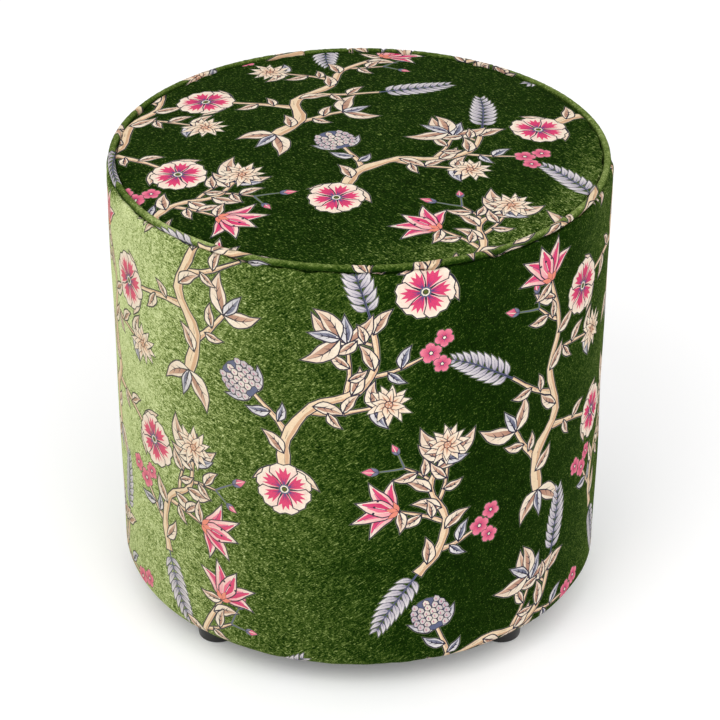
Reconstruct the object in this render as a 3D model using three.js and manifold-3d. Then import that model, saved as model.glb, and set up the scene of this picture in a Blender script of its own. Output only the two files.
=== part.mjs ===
// A round velvet tuffet: a drum-shaped footstool on four low plastic feet.
// Two round boards, held apart by six posts, are wrapped in a bent panel. Foam and wadding
// go over them, and a sewn velvet cover with a piped top edge goes over all. Millimetres,
// +Z up, origin on the floor under the middle of the drum, and the front faces -Y.

import * as THREE from 'three';
import { mergeVertices } from 'three/addons/utils/BufferGeometryUtils.js';
import Module from 'manifold-3d';

const wasm = await Module();
wasm.setup();

// Driving sizes of the drum
const drum_diameter = 450;
const drum_height = 404.5; // underside of the hem to the middle of the piping
const drum_taper = 1.8; // how far the side draws in from the shoulder down to the hem
const hem_bend_radius = 13.2;
const shoulder_height = 11;
const crown_height = 10; // middle of the seat above the middle of the piping
const rim_rise = 1.6; // edge of the seat above the middle of the piping
const rim_bend_radius = 3.2;

// Cover: velvet, seams and piping
const velvet_thickness = 1.2;
const hem_turn_under = 50; // flat velvet under the drum, inside the start of the hem's bend
const seam_allowance = 10;
const piping_inset = 5.5; // middle of the piping inside the widest radius
const piping_cord_diameter = 3.5;
const fold_gap = 0.4; // between the two layers where the band turns in at its top

// Padding
const side_wadding_thickness = 5;
const side_foam_thickness = 12;
const seat_wadding_thickness = 8;
const seat_foam_thickness = 60;
const seat_foam_edge_drop = 5.6;

// Frame
const panel_thickness = 3;
const panel_joint_gap = 0.5;
const base_board_thickness = 18;
const top_board_thickness = 15;
const post_width = 30;
const post_count = 6;

// Underside and feet
const dust_cover_thickness = 0.6;
const dust_cover_margin = 6; // edge of the dust cover inside the start of the hem's bend
const foot_height = 24;
const foot_top_diameter = 40;
const foot_floor_diameter = 36;
const foot_edge_radius = 3;
const foot_recess_diameter = 14;
const foot_web_thickness = 8; // plastic above the screw recess
const foot_inset = 16; // middle of a foot inside the edge of the base board
const foot_angles = { front_right: -45, front_left: -135, back_left: 135, back_right: 45 };

// Countersunk screws
const screw_shank_diameter = 4.5;
const screw_head_diameter = 9;
const screw_head_height = 3;
const screw_point_length = 5;
const post_screw_length = 50;
const foot_screw_length = 25;

// Clearances, how far a cutter runs past what it cuts, and how close two corners are one
const fit_gap = 0.3;
const cut_overrun = 2;
const merge_distance = 1e-4;

// Fineness of the round forms
const drum_sides = 52;
const foot_sides = 20;
const screw_sides = 8;
const bend_steps = 3;
const piping_steps = 6;

// Shape of the crown: full height at the middle, falling faster towards the rim
const crown_power = 2.4;
const crown_radius_shares = [0, 0.3, 0.55, 0.75, 0.9, 1];
const foam_radius_shares = [0, 0.5, 0.8, 1];

// Heights worked out from the floor up
const dust_cover_low = foot_height + fit_gap;
const hem_low = dust_cover_low + dust_cover_thickness + fit_gap;
const hem_high = hem_low + velvet_thickness;
const frame_low = hem_high + fit_gap;
const base_board_high = frame_low + base_board_thickness;
const piping_height = hem_low + drum_height;
const crown_top = piping_height + crown_height;
const seat_foam_high = crown_top - velvet_thickness - seat_wadding_thickness - 2 * fit_gap;
const seat_foam_low = seat_foam_high - seat_foam_thickness;
const top_board_high = seat_foam_low - fit_gap;
const top_board_low = top_board_high - top_board_thickness;

// Radii worked out from the outside in
const drum_radius = drum_diameter / 2;
const hem_radius = drum_radius - drum_taper;
const hem_bend_middle = hem_radius - hem_bend_radius;
const hem_inner_radius = hem_bend_middle - hem_turn_under;
const side_wadding_inner = hem_radius - velvet_thickness - fit_gap - side_wadding_thickness;
const side_foam_outer = side_wadding_inner - fit_gap;
const side_foam_inner = side_foam_outer - side_foam_thickness;
const panel_outer = side_foam_inner - fit_gap;
const panel_inner = panel_outer - panel_thickness;
const board_radius = panel_inner - fit_gap;
const foot_circle_radius = board_radius - foot_inset; // the feet stand on this circle
const flat_radius_share = Math.cos(Math.PI / drum_sides); // middle of a flat against its corners
const bend_flat_share = Math.cos(Math.PI / 4 / bend_steps); // the same on a quarter bend
const inside_hem_bend = (hem_bend_radius - velvet_thickness) * bend_flat_share - fit_gap;

// The piped seam: a cord in a folded strip, whose tail hangs between the two allowances
const piping_radius = drum_radius - piping_inset;
const cord_radius = piping_cord_diameter / 2;
const loop_inner = cord_radius + fit_gap;
const loop_outer = loop_inner + velvet_thickness;
const tail_inner = piping_radius - loop_outer;
const tail_outer = tail_inner + 2 * velvet_thickness + fit_gap;
const seat_allowance_outer = tail_inner - fit_gap;
const seat_allowance_inner = seat_allowance_outer - velvet_thickness;
const band_allowance_inner = tail_outer + fit_gap;
const band_allowance_outer = band_allowance_inner + velvet_thickness;
const allowance_low = piping_height - loop_outer - seam_allowance;
const band_top = piping_height - loop_outer - fit_gap;
const shoulder_low = band_top - shoulder_height;

const materials = {
  velvet: new THREE.MeshStandardMaterial({ color: 0x2c4a1d, roughness: 0.9, metalness: 0 }),
  cord: new THREE.MeshStandardMaterial({ color: 0xd9d2c2, roughness: 0.9, metalness: 0 }),
  foam: new THREE.MeshStandardMaterial({ color: 0xe6dcae, roughness: 1, metalness: 0 }),
  wadding: new THREE.MeshStandardMaterial({ color: 0xf2f1ec, roughness: 1, metalness: 0 }),
  plywood: new THREE.MeshStandardMaterial({ color: 0xc9a472, roughness: 0.7, metalness: 0 }),
  pine: new THREE.MeshStandardMaterial({ color: 0xdcb983, roughness: 0.7, metalness: 0 }),
  hardboard: new THREE.MeshStandardMaterial({ color: 0x7a5433, roughness: 0.8, metalness: 0 }),
  dust_cloth: new THREE.MeshStandardMaterial({ color: 0x161616, roughness: 1, metalness: 0 }),
  plastic: new THREE.MeshStandardMaterial({ color: 0x0d0d0d, roughness: 0.4, metalness: 0 }),
  zinc: new THREE.MeshStandardMaterial({ color: 0xb8bcc0, roughness: 0.35, metalness: 1 }),
};

const tuffet = new THREE.Group();

function addPiece(name, geometry, material) {
  const piece = new THREE.Mesh(geometry, material);
  piece.name = name;
  tuffet.add(piece);
  return piece;
}

// Profiles are lists of [radius, height]. Twice the area is positive when they run anticlockwise.
function doubleArea(profile) {
  let sum = 0;
  profile.forEach(([r, z], i) => {
    const [next_r, next_z] = profile[(i + 1) % profile.length];
    sum += r * next_z - next_r * z;
  });
  return sum;
}

// Revolves a profile about the Z axis. A profile that leaves the axis also ends on it;
// any other closes on itself.
function turned(profile, sides) {
  const outward = doubleArea(profile) > 0 ? profile : [...profile].reverse();
  const on_axis = outward.some(([r]) => r === 0);
  let ordered = outward;
  if (on_axis) {
    const last = outward.findIndex(([r], i) => r === 0 && outward[(i + 1) % outward.length][0] > 0);
    ordered = outward.map((_, i) => outward[(i + last) % outward.length]);
  } else {
    ordered = [...outward, outward[0]];
  }
  const points = ordered.map(([r, z]) => new THREE.Vector2(r, z));
  const geometry = new THREE.LatheGeometry(points, sides);
  geometry.rotateX(Math.PI / 2);
  return geometry;
}

function toSolid(geometry) {
  const bare = geometry.clone();
  bare.deleteAttribute('normal');
  bare.deleteAttribute('uv');
  const merged = mergeVertices(bare, merge_distance);
  const corners = [];
  for (let i = 0; i < merged.index.count; i += 3) {
    const [a, b, c] = [0, 1, 2].map((k) => merged.index.getX(i + k));
    if (a !== b && b !== c && c !== a) corners.push(a, b, c);
  }
  const mesh = new wasm.Mesh({
    numProp: 3,
    vertProperties: new Float32Array(merged.attributes.position.array),
    triVerts: new Uint32Array(corners),
  });
  return new wasm.Manifold(mesh);
}

function toGeometry(solid) {
  const mesh = solid.getMesh();
  const geometry = new THREE.BufferGeometry();
  geometry.setAttribute('position', new THREE.BufferAttribute(new Float32Array(mesh.vertProperties), 3));
  geometry.setIndex(new THREE.BufferAttribute(new Uint32Array(mesh.triVerts), 1));
  geometry.computeVertexNormals();
  return geometry;
}

function cutBy(geometry, cutters) {
  return toGeometry(cutters.reduce((solid, cutter) => solid.subtract(toSolid(cutter)), toSolid(geometry)));
}

// Points along a quarter of an ellipse, from one angle to another, both ends included
function bend(middle_r, middle_z, reach_r, reach_z, from_degrees, to_degrees, steps) {
  return Array.from({ length: steps + 1 }, (_, i) => {
    const angle = THREE.MathUtils.degToRad(from_degrees + ((to_degrees - from_degrees) * i) / steps);
    return [middle_r + reach_r * Math.cos(angle), middle_z + reach_z * Math.sin(angle)];
  });
}

// Where something stands on a circle round the drum's axis; 0 degrees is +X
function onCircle(radius, degrees) {
  const angle = THREE.MathUtils.degToRad(degrees);
  return [radius * Math.cos(angle), radius * Math.sin(angle)];
}

// The seat's outer surface from the middle to where it bends into the seam, sunk by a depth
const crown_edge_radius = seat_allowance_outer - rim_bend_radius;

function crownLine(depth) {
  return crown_radius_shares.map((share) => {
    const fall = (crown_height - rim_rise) * share ** crown_power;
    return [crown_edge_radius * share, crown_top - fall - depth];
  });
}

// Seat cover: a crowned disc whose edge bends down into its seam allowance
function makeSeatCover() {
  const rim_middle = piping_height + rim_rise - rim_bend_radius;
  const inner_bend = rim_bend_radius - velvet_thickness;
  const outer = [
    ...crownLine(0),
    ...bend(crown_edge_radius, rim_middle, rim_bend_radius, rim_bend_radius, 90, 0, bend_steps).slice(1),
    [seat_allowance_outer, allowance_low],
  ];
  const inner = [
    ...crownLine(velvet_thickness),
    ...bend(crown_edge_radius, rim_middle, inner_bend, inner_bend, 90, 0, bend_steps).slice(1),
    [seat_allowance_inner, allowance_low],
  ];
  addPiece('seat_cover', turned([...outer, ...inner.reverse()], drum_sides), materials.velvet);
}

// One face of the side band, from the hem's inner edge up to the shoulder's top
function bandLine(depth, top_radius) {
  const reach = drum_radius - depth - top_radius;
  return [
    [hem_inner_radius, hem_low + depth],
    ...bend(
      hem_bend_middle, hem_low + hem_bend_radius,
      hem_bend_radius - depth, hem_bend_radius - depth, -90, 0, bend_steps,
    ),
    ...bend(top_radius, shoulder_low, reach, shoulder_height - depth, 0, 90, bend_steps),
  ];
}

// Side band: turned under at the hem, and turned in at the top as its seam allowance
function makeSideBand() {
  const outer = bandLine(0, band_allowance_outer + fold_gap + velvet_thickness);
  const inner = bandLine(velvet_thickness, band_allowance_outer + fold_gap);
  const allowance = [
    [band_allowance_inner, band_top],
    [band_allowance_inner, allowance_low],
    [band_allowance_outer, allowance_low],
    [band_allowance_outer, band_top - velvet_thickness],
  ];
  const band = turned([...outer, ...allowance, ...inner.reverse()], drum_sides);
  addPiece('side_band', cutBy(band, footScrewHoles()), materials.velvet);
}

// Piping: a velvet strip folded round a cord, its two layers hanging down as a tail
function makePiping() {
  const slit_outer = tail_outer - velvet_thickness;
  const outer_meet = Math.acos((tail_outer - piping_radius) / loop_outer);
  const inner_meet = Math.acos((slit_outer - piping_radius) / loop_inner);
  const outer_end = -THREE.MathUtils.radToDeg(outer_meet);
  const inner_end = -THREE.MathUtils.radToDeg(inner_meet);
  const strip = [
    [tail_inner, allowance_low],
    ...bend(piping_radius, piping_height, loop_outer, loop_outer, 180, outer_end, piping_steps),
    [tail_outer, allowance_low],
    [slit_outer, allowance_low],
    ...bend(piping_radius, piping_height, loop_inner, loop_inner, inner_end, 180, piping_steps),
    [tail_inner + velvet_thickness, allowance_low],
  ];
  addPiece('piping_strip', turned(strip, drum_sides), materials.velvet);
  const cord = bend(piping_radius, piping_height, cord_radius, cord_radius, 0, 360, piping_steps).slice(1);
  addPiece('piping_cord', turned(cord, drum_sides), materials.cord);
}

// Height at which a layer inside the hem clears the bent velvet, at a given radius
function insideHemBend(radius) {
  const across = Math.max(0, radius - hem_bend_middle);
  return hem_low + hem_bend_radius - Math.sqrt(inside_hem_bend ** 2 - across ** 2);
}

function makeSidePadding() {
  const padding_top = allowance_low - fit_gap;
  const reach = inside_hem_bend;
  const bend_height = hem_low + hem_bend_radius;
  const layer = velvet_thickness + fit_gap;
  const first_angle = Math.acos((side_wadding_inner - hem_bend_middle) / reach);
  const first_degrees = -THREE.MathUtils.radToDeg(first_angle);
  const wadding = [
    [side_wadding_inner, padding_top],
    ...bend(hem_bend_middle, bend_height, reach, reach, first_degrees, 0, bend_steps),
    [drum_radius - layer, shoulder_low],
    [drum_radius - layer, padding_top],
  ];
  addPiece('side_wadding', turned(wadding, drum_sides), materials.wadding);
  const foam = [
    [side_foam_inner, frame_low],
    [hem_bend_middle, frame_low],
    [side_foam_outer, insideHemBend(side_foam_outer)],
    [side_foam_outer, padding_top],
    [side_foam_inner, padding_top],
  ];
  addPiece('side_foam', turned(foam, drum_sides), materials.foam);
}

// The seat foam's crowned top, lifted by a height
function foamLine(lift) {
  return foam_radius_shares.map((share) => {
    const fall = seat_foam_edge_drop * share ** crown_power;
    return [panel_outer * share, seat_foam_high - fall + lift];
  });
}

function makeSeatPadding() {
  const foam = [...foamLine(0), [panel_outer, seat_foam_low], [0, seat_foam_low]];
  addPiece('seat_foam', turned(foam, drum_sides), materials.foam);
  const layer = velvet_thickness + fit_gap;
  const rim_middle = piping_height + rim_rise - rim_bend_radius;
  const rim_reach = rim_bend_radius - layer;
  const wadding_inner = panel_outer + fit_gap;
  const top_face = [
    ...crownLine(layer),
    ...bend(crown_edge_radius, rim_middle, rim_reach, rim_reach, 90, 0, bend_steps).slice(1),
    [seat_allowance_inner - fit_gap, allowance_low],
  ];
  const under_face = [
    ...foamLine(fit_gap),
    [wadding_inner, seat_foam_high - seat_foam_edge_drop + fit_gap],
    [wadding_inner, allowance_low],
  ];
  addPiece('seat_wadding', turned([...top_face, ...under_face.reverse()], drum_sides), materials.wadding);
}

// A countersunk screw pointing up +Z with its head's face at the origin. With a gap it is
// the cutter for the screw's own hole, and runs past the face that it enters.
function screwShape(length, gap) {
  const shank = screw_shank_diameter / 2 + gap;
  const head = screw_head_diameter / 2 + gap;
  const face = gap > 0 ? [[0, -cut_overrun], [head, -cut_overrun], [head, 0]] : [[0, 0], [head, 0]];
  return turned([
    ...face,
    [shank, screw_head_height + gap],
    [shank, length - screw_point_length + gap],
    [0, length + gap],
  ], screw_sides);
}

const post_reach = board_radius * flat_radius_share - fit_gap;
const post_circle_radius = Math.sqrt(post_reach ** 2 - (post_width / 2) ** 2) - post_width / 2;
const post_angles = Array.from({ length: post_count }, (_, i) => 90 + (360 * i) / post_count);

// Where each post's two screws enter: up through the base board, and down through the top one
function postScrewPlaces() {
  return post_angles.flatMap((degrees, i) => {
    const [x, y] = onCircle(post_circle_radius, degrees);
    return [
      { name: `base_post_screw_${i + 1}`, x, y, z: frame_low, down: false },
      { name: `top_post_screw_${i + 1}`, x, y, z: top_board_high, down: true },
    ];
  });
}

function footScrewPlaces() {
  return Object.entries(foot_angles).map(([place, degrees]) => {
    const [x, y] = onCircle(foot_circle_radius, degrees);
    return { name: `foot_screw_${place}`, x, y, z: foot_height - foot_web_thickness, down: false };
  });
}

function placeScrew(geometry, place) {
  if (place.down) geometry.rotateX(Math.PI);
  return geometry.translate(place.x, place.y, place.z);
}

function footScrewHoles() {
  return footScrewPlaces().map((place) => placeScrew(screwShape(foot_screw_length, fit_gap), place));
}

function postScrewHoles(down) {
  return postScrewPlaces()
    .filter((place) => place.down === down)
    .map((place) => placeScrew(screwShape(post_screw_length, fit_gap), place));
}

function disc(radius, low, thickness) {
  return turned([[0, low], [radius, low], [radius, low + thickness], [0, low + thickness]], drum_sides);
}

function makeBoards() {
  const base = disc(board_radius, frame_low, base_board_thickness);
  addPiece('base_board', cutBy(base, [...postScrewHoles(false), ...footScrewHoles()]), materials.plywood);
  const top = disc(board_radius, top_board_low, top_board_thickness);
  addPiece('top_board', cutBy(top, postScrewHoles(true)), materials.plywood);
}

function makePosts() {
  const length = top_board_low - base_board_high - 2 * fit_gap;
  const cutters = [...postScrewHoles(false), ...postScrewHoles(true)];
  post_angles.forEach((degrees, i) => {
    const [x, y] = onCircle(post_circle_radius, degrees);
    const post = new THREE.BoxGeometry(post_width, post_width, length);
    post.rotateZ(THREE.MathUtils.degToRad(degrees));
    post.translate(x, y, base_board_high + fit_gap + length / 2);
    const own = [cutters[i], cutters[i + post_count]];
    addPiece(`post_${i + 1}`, cutBy(post, own), materials.pine);
  });
}

// The bent panel's two edges meet at the back, over the post there
function makeWallPanel() {
  const step = (2 * Math.PI) / drum_sides;
  const half_gap = panel_joint_gap / 2 / panel_outer;
  const back = Math.PI / 2;
  const angles = [back + half_gap];
  for (let i = 1; i < drum_sides; i += 1) angles.push(back + i * step);
  angles.push(back + 2 * Math.PI - half_gap);
  const arc = (radius) => angles.map((a) => new THREE.Vector2(radius * Math.cos(a), radius * Math.sin(a)));
  const outline = new THREE.Shape([...arc(panel_outer), ...arc(panel_inner).reverse()]);
  const depth = top_board_high - frame_low;
  const panel = new THREE.ExtrudeGeometry(outline, { depth, bevelEnabled: false });
  panel.translate(0, 0, frame_low);
  addPiece('wall_panel', panel, materials.hardboard);
}

function makeDustCover() {
  const sheet = disc(hem_bend_middle - dust_cover_margin, dust_cover_low, dust_cover_thickness);
  addPiece('dust_cover', cutBy(sheet, footScrewHoles()), materials.dust_cloth);
}

// A tapered round foot, recessed from below, with a countersunk hole through its web
function footShape() {
  const edge = foot_edge_radius;
  const edge_middle = foot_floor_diameter / 2 - edge;
  const recess = foot_recess_diameter / 2;
  const web_low = foot_height - foot_web_thickness;
  const head = screw_head_diameter / 2 + fit_gap;
  const shank = screw_shank_diameter / 2 + fit_gap;
  return turned([
    [recess, 0],
    ...bend(edge_middle, edge, edge, edge, -90, 0, bend_steps),
    [foot_top_diameter / 2, foot_height],
    [shank, foot_height],
    [shank, web_low + screw_head_height + fit_gap],
    [head, web_low],
    [recess, web_low],
  ], foot_sides);
}

function makeFeet() {
  Object.entries(foot_angles).forEach(([place, degrees]) => {
    const [x, y] = onCircle(foot_circle_radius, degrees);
    const foot = addPiece(`foot_${place}`, footShape(), materials.plastic);
    foot.position.set(x, y, 0);
  });
}

function makeScrews() {
  footScrewPlaces().forEach((place) => {
    addPiece(place.name, placeScrew(screwShape(foot_screw_length, 0), place), materials.zinc);
  });
  postScrewPlaces().forEach((place) => {
    addPiece(place.name, placeScrew(screwShape(post_screw_length, 0), place), materials.zinc);
  });
}

makeSeatCover();
makeSideBand();
makePiping();
makeSidePadding();
makeSeatPadding();
makeBoards();
makePosts();
makeWallPanel();
makeDustCover();
makeFeet();
makeScrews();

export default tuffet;
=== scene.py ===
import math
import random

import bpy
import numpy as np
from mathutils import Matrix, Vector
from mathutils.geometry import delaunay_2d_cdt


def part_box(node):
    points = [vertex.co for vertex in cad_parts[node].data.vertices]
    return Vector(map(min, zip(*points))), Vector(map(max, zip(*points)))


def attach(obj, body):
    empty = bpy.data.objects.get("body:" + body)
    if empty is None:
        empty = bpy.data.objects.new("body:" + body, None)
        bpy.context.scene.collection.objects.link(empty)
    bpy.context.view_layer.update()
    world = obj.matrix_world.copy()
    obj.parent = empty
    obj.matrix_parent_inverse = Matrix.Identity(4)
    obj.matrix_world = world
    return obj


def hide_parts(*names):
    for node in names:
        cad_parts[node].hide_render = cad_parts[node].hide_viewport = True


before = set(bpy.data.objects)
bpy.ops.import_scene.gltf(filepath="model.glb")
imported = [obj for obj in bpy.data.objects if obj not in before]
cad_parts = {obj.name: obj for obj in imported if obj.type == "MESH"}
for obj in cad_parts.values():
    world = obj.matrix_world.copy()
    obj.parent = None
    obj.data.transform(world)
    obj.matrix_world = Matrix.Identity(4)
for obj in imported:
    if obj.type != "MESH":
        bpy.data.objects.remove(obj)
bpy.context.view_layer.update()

# Every size below is in millimetres unless its name says otherwise. Meshes are written in metres.
MM = 0.001
TURN = 2 * math.pi
QUARTER = math.pi / 2


def corners(node):
    """Lowest and highest corner of a CAD node, in millimetres."""
    low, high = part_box(node)
    return low / MM, high / MM


# Sizes read from the frame
band_low, band_high = corners("side_band")
seat_low, seat_high = corners("seat_cover")
drum_radius = band_high.x
hem_low = band_low.z
band_top = band_high.z
crown_top = seat_high.z
seat_radius = seat_high.x
allowance_low = seat_low.z

# Sizes of the cover
velvet_thickness = 1.2
drum_taper = 1.8
hem_bend_radius = 13.2
hem_turn_under = 50.0
shoulder_height = 11.0
shoulder_reach = 3.0
fold_radius = 1.4
crown_fall = 8.4
crown_power = 2.4
rim_bend_radius = 3.2
piping_inset = 5.5
loop_radius = 3.25
tail_gap = 0.3

hem_radius = drum_radius - drum_taper
hem_bend_middle = hem_radius - hem_bend_radius
shoulder_low = band_top - shoulder_height
piping_radius = drum_radius - piping_inset
piping_height = band_top + loop_radius + tail_gap
back_angle = QUARTER

# Where the two ends of the band meet, and those of the piping: how far they turn in, how tight they roll,
# and half the gap between them
seam_turn_in = 3.0
seam_roll_radius = 1.2
seam_half_gap = 0.1
piping_end_roll = 0.6
piping_turn_in = QUARTER * piping_end_roll
piping_half_gap = 0.05
piping_joint_turn = math.radians(14)

# Step of the cover's meshes where they are nearly flat
flat_step = 8

# Unevenness of the cover
PUCKER_DEPTH = 0.28
GATHER_DEPTH = 0.25
SLACK_DEPTH = 0.45
CORD_LAY_DEPTH = 0.07
pucker_drop = 4
pucker_reach = 11
seat_pucker_inset = 8
seat_pucker_reach = 9
gather_start = 12
gather_reach = 30
slack_margin = 25
seat_middle_reach = 60
cord_lay_reach = 7
cord_lay_fade = 3

# Where each piece was cut: the turn of the cloth under it, and the cloth's place at the piece's origin
BAND_CUT = (0.0, (120.0, 300.0))
SEAT_CUT = (0.35, (260.0, 190.0))
PIPING_CUT = (math.radians(45), (40.0, 90.0))

# The photograph's camera, in shares of the drum's radius, radians and its own pixels
CAMERA_PITCH = 0.5279
CAMERA_DISTANCE_SHARE = 11.193
CAMERA_AIM_SHARES = (0.0023, 0.8459)
CAMERA_FOCAL_PIXELS = 2715.2
CAMERA_SENSOR_WIDTH = 36
CAMERA_FAR_END = 50  # in metres
PHOTO_PIXELS = 720

# The floor's shade, what is added where it is seen, and how far it reaches, in millimetres as all else
FLOOR_ALBEDO = 0.94
FLOOR_LIFT = 0.10
FLOOR_REACH = 8000

# Light, in metres and watts
WHITE_LIGHT = (1, 1, 1, 1)
WORLD_STRENGTH = 0.86
LAMP_SIZE = 2.2
LAMP_AIM = (0, 0, 0.22)
LAMPS = {"key": ((-1.2, -2.0, 2.6), 34.0), "fill": ((1.2, -2.2, 2.4), 25.0)}

FOOT_PLACES = ("front_left", "front_right", "back_left", "back_right")


# The print

# Colours of the print, as they look on the cloth
LIMB = (0.955, 0.850, 0.715)
LIMB_SHADE = (0.850, 0.685, 0.550)
INK = (0.190, 0.170, 0.260)
PALE_EDGE = (0.430, 0.480, 0.310)
CREAM = (0.985, 0.935, 0.850)
WHITE = (0.930, 0.905, 0.895)
PINK_DEEP = (0.800, 0.170, 0.400)
PINK = (0.930, 0.330, 0.500)
PINK_LIGHT = (0.965, 0.560, 0.640)
CORAL = (0.940, 0.560, 0.480)
VIOLET = (0.430, 0.290, 0.500)
SLATE = (0.385, 0.405, 0.520)
LILAC = (0.690, 0.655, 0.715)
PEACH = (0.945, 0.780, 0.650)
PEACH_DEEP = (0.800, 0.570, 0.460)
OLIVE = (0.360, 0.400, 0.190)

# Shade and light of the two kinds of leaf
BROWN_LEAF = (PEACH_DEEP, CREAM)
GREY_LEAF = (SLATE, WHITE)

# The drawn outline and the pale edge outside it, where the dark dye stops short
INK_WIDTH = 1.10
PALE_WIDTH = 0.38
SHARP_CORNER_SHARE = 0.45

CURVE_STEPS = 4
HEADING_REACH = 1.5
PRINT_SEED = 7

# One repeat of the cloth
REPEAT = (482.0, 436.0)


def blended(a, b, share):
    return tuple(p + (q - p) * share for p, q in zip(a, b))


def swung(points, angle, place=(0.0, 0.0), mirror=False):
    """Flat points turned about the origin, mirrored first if asked, and moved to a place."""
    points = np.asarray(points, float)
    if mirror:
        points = points * (1, -1)
    c, s = math.cos(angle), math.sin(angle)
    return points @ np.array([[c, s], [-s, c]]) + place


def toward(place, angle, reach):
    return np.asarray(place, float) + (reach * math.cos(angle), reach * math.sin(angle))


def unit(ways):
    return ways / (np.linalg.norm(ways, axis=1)[:, None] + 1e-9)


def left_of(ways):
    """Flat directions, each a quarter turn to the left of the one given."""
    return np.stack([-ways[:, 1], ways[:, 0]], 1)


def twice_area(points):
    x, y = points[:, 0], points[:, 1]
    return float(np.sum(x * np.roll(y, -1) - y * np.roll(x, -1)))


def grown(points, reach):
    """An outline moved outwards by a reach, with its sharp corners held short."""
    if twice_area(points) < 0:
        points = points[::-1]
    out_before = -left_of(unit(points - np.roll(points, 1, 0)))
    out_after = -left_of(unit(np.roll(points, -1, 0) - points))
    out = unit(out_before + out_after)
    lean = np.clip((out * out_before).sum(1), SHARP_CORNER_SHARE, 1.0)
    return points + out * (reach / lean)[:, None]


def smooth_path(points):
    """A smooth line through the points, as a Catmull-Rom curve."""
    p = np.asarray(points, float)
    p = np.vstack([2 * p[0] - p[1], p, 2 * p[-1] - p[-2]])
    line = []
    for i in range(1, len(p) - 2):
        for k in range(CURVE_STEPS):
            t = k / CURVE_STEPS
            b = p[i + 1] - p[i - 1]
            c = 2 * p[i - 1] - 5 * p[i] + 4 * p[i + 1] - p[i + 2]
            d = 3 * p[i] - p[i - 1] - 3 * p[i + 1] + p[i + 2]
            line.append((2 * p[i] + b * t + c * t ** 2 + d * t ** 3) / 2)
    line.append(p[-2])
    return np.array(line)


def along(path, share):
    """Place and heading at a share of a path's length."""
    reached = np.concatenate([[0], np.cumsum(np.linalg.norm(np.diff(path, axis=0), axis=1))])

    def at(length):
        return np.array([np.interp(length, reached, path[:, k]) for k in (0, 1)])

    s = share * reached[-1]
    way = at(min(s + HEADING_REACH, reached[-1])) - at(max(s - HEADING_REACH, 0))
    return at(s), math.atan2(way[1], way[0])


def stroke(path, widths):
    """The outline of a stroke along a path, with its own width at each point."""
    side = left_of(unit(np.gradient(path, axis=0))) * np.asarray(widths)[:, None] / 2
    return np.vstack([path + side, (path - side)[::-1]])


def ring(place, radius, sides, phase=0.0):
    angles = phase + np.arange(sides) * (TURN / sides)
    return np.stack([np.cos(angles), np.sin(angles)], 1) * radius + place


class Print:
    """The print of one repeat. Later shapes lie over earlier ones, and all of them over the pale edges."""

    def __init__(self):
        self.pale = []
        self.shapes = []
        self.edges = None
        self.chance = random.Random(PRINT_SEED)

    def paint(self, points, near, far=None, start=(0, 0), end=(1, 0)):
        """One shape, whose colour may run from near to far between two places."""
        self.shapes.append((np.asarray(points, float), near, far or near, start, end))

    def pale_edge(self, points, reach):
        self.pale.append((grown(points, reach), PALE_EDGE, PALE_EDGE, (0, 0), (1, 0)))

    def ink(self, points, width=INK_WIDTH, colour=INK, pale=PALE_WIDTH):
        """The drawn outline round a shape, and the pale edge outside it."""
        if pale:
            self.pale_edge(points, width + pale)
        self.paint(grown(points, width), colour)

    def outlined(self, points, near, far=None, start=(0, 0), end=(1, 0), **ink):
        """A shape and the drawn outline round it."""
        self.ink(points, **ink)
        self.paint(points, near, far, start, end)

    def line(self, path, width_from, width_to, colour=INK):
        path = np.asarray(path, float)
        self.paint(stroke(path, np.linspace(width_from, width_to, len(path))), colour)

    def dots(self, places, radius, colour, sides=4):
        for place in places:
            self.paint(ring(place, radius, sides), colour)

    def eye(self, place, radius, layers, sides=9):
        """Round layers over each other, each with its share of the radius and its colour."""
        for share, colour in layers:
            self.paint(ring(place, radius * share, sides), colour)


# How a leaf's width comes and goes: below 1, the first puts its fullest place nearer the root, and above 1,
# the second makes its ends more pointed
LEAF_FULLEST_POWER = 0.75
LEAF_POINT_POWER = 1.1

# Steps along the small leaves, petals and sepals
COARSE_STEPS = 4


def leaf_shape(length, width, curl, steps=COARSE_STEPS, wave_share=0.0):
    """The outline and the midrib of a leaf that runs from the origin along +X and curls to one side."""
    t = np.linspace(0, 1, steps + 1)
    half = width / 2 * np.sin(math.pi * t ** LEAF_FULLEST_POWER) ** LEAF_POINT_POWER
    wave = wave_share * np.sin(3 * math.pi * t)
    midrib = np.stack([length * t, curl * length * np.sin(math.pi * t) / 2], 1)
    upper = np.stack([0 * t, half * (1 + wave)], 1)
    lower = np.stack([0 * t, half * (1 - wave)], 1)
    return np.vstack([midrib + upper, (midrib - lower)[-2:0:-1]]), midrib


def band_beside(midrib, first, width, rise_shares):
    """A patch of a leaf on one side of its midrib, as far from it as the shares of the leaf's width say."""
    part = midrib[first:first + len(rise_shares)]
    rises = width * np.array(rise_shares)
    return np.vstack([part, (part + np.stack([0 * rises, rises], 1))[::-1]])


LEAF_STEPS = 8
LEAF_WAVE_SHARE = 0.13
LEAF_DARK_SHARES = (-0.19, -0.31, -0.37, -0.34, -0.27, -0.18, -0.07)

# How much shade a leaf's light side has at its tip, and its dark side's share of ink at the root and of
# light at the tip
LEAF_TIP_SHADE = 0.30
LEAF_DARK_INK = 0.22
LEAF_DARK_TIP_LIGHT = 0.40
MIDRIB_WIDTH = 1.5
VEIN_WIDTH = 0.9
VEIN_START_SHARES = (0.30, 0.52)
VEIN_REACH_SHARES = (0.17, 0.30)


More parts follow.
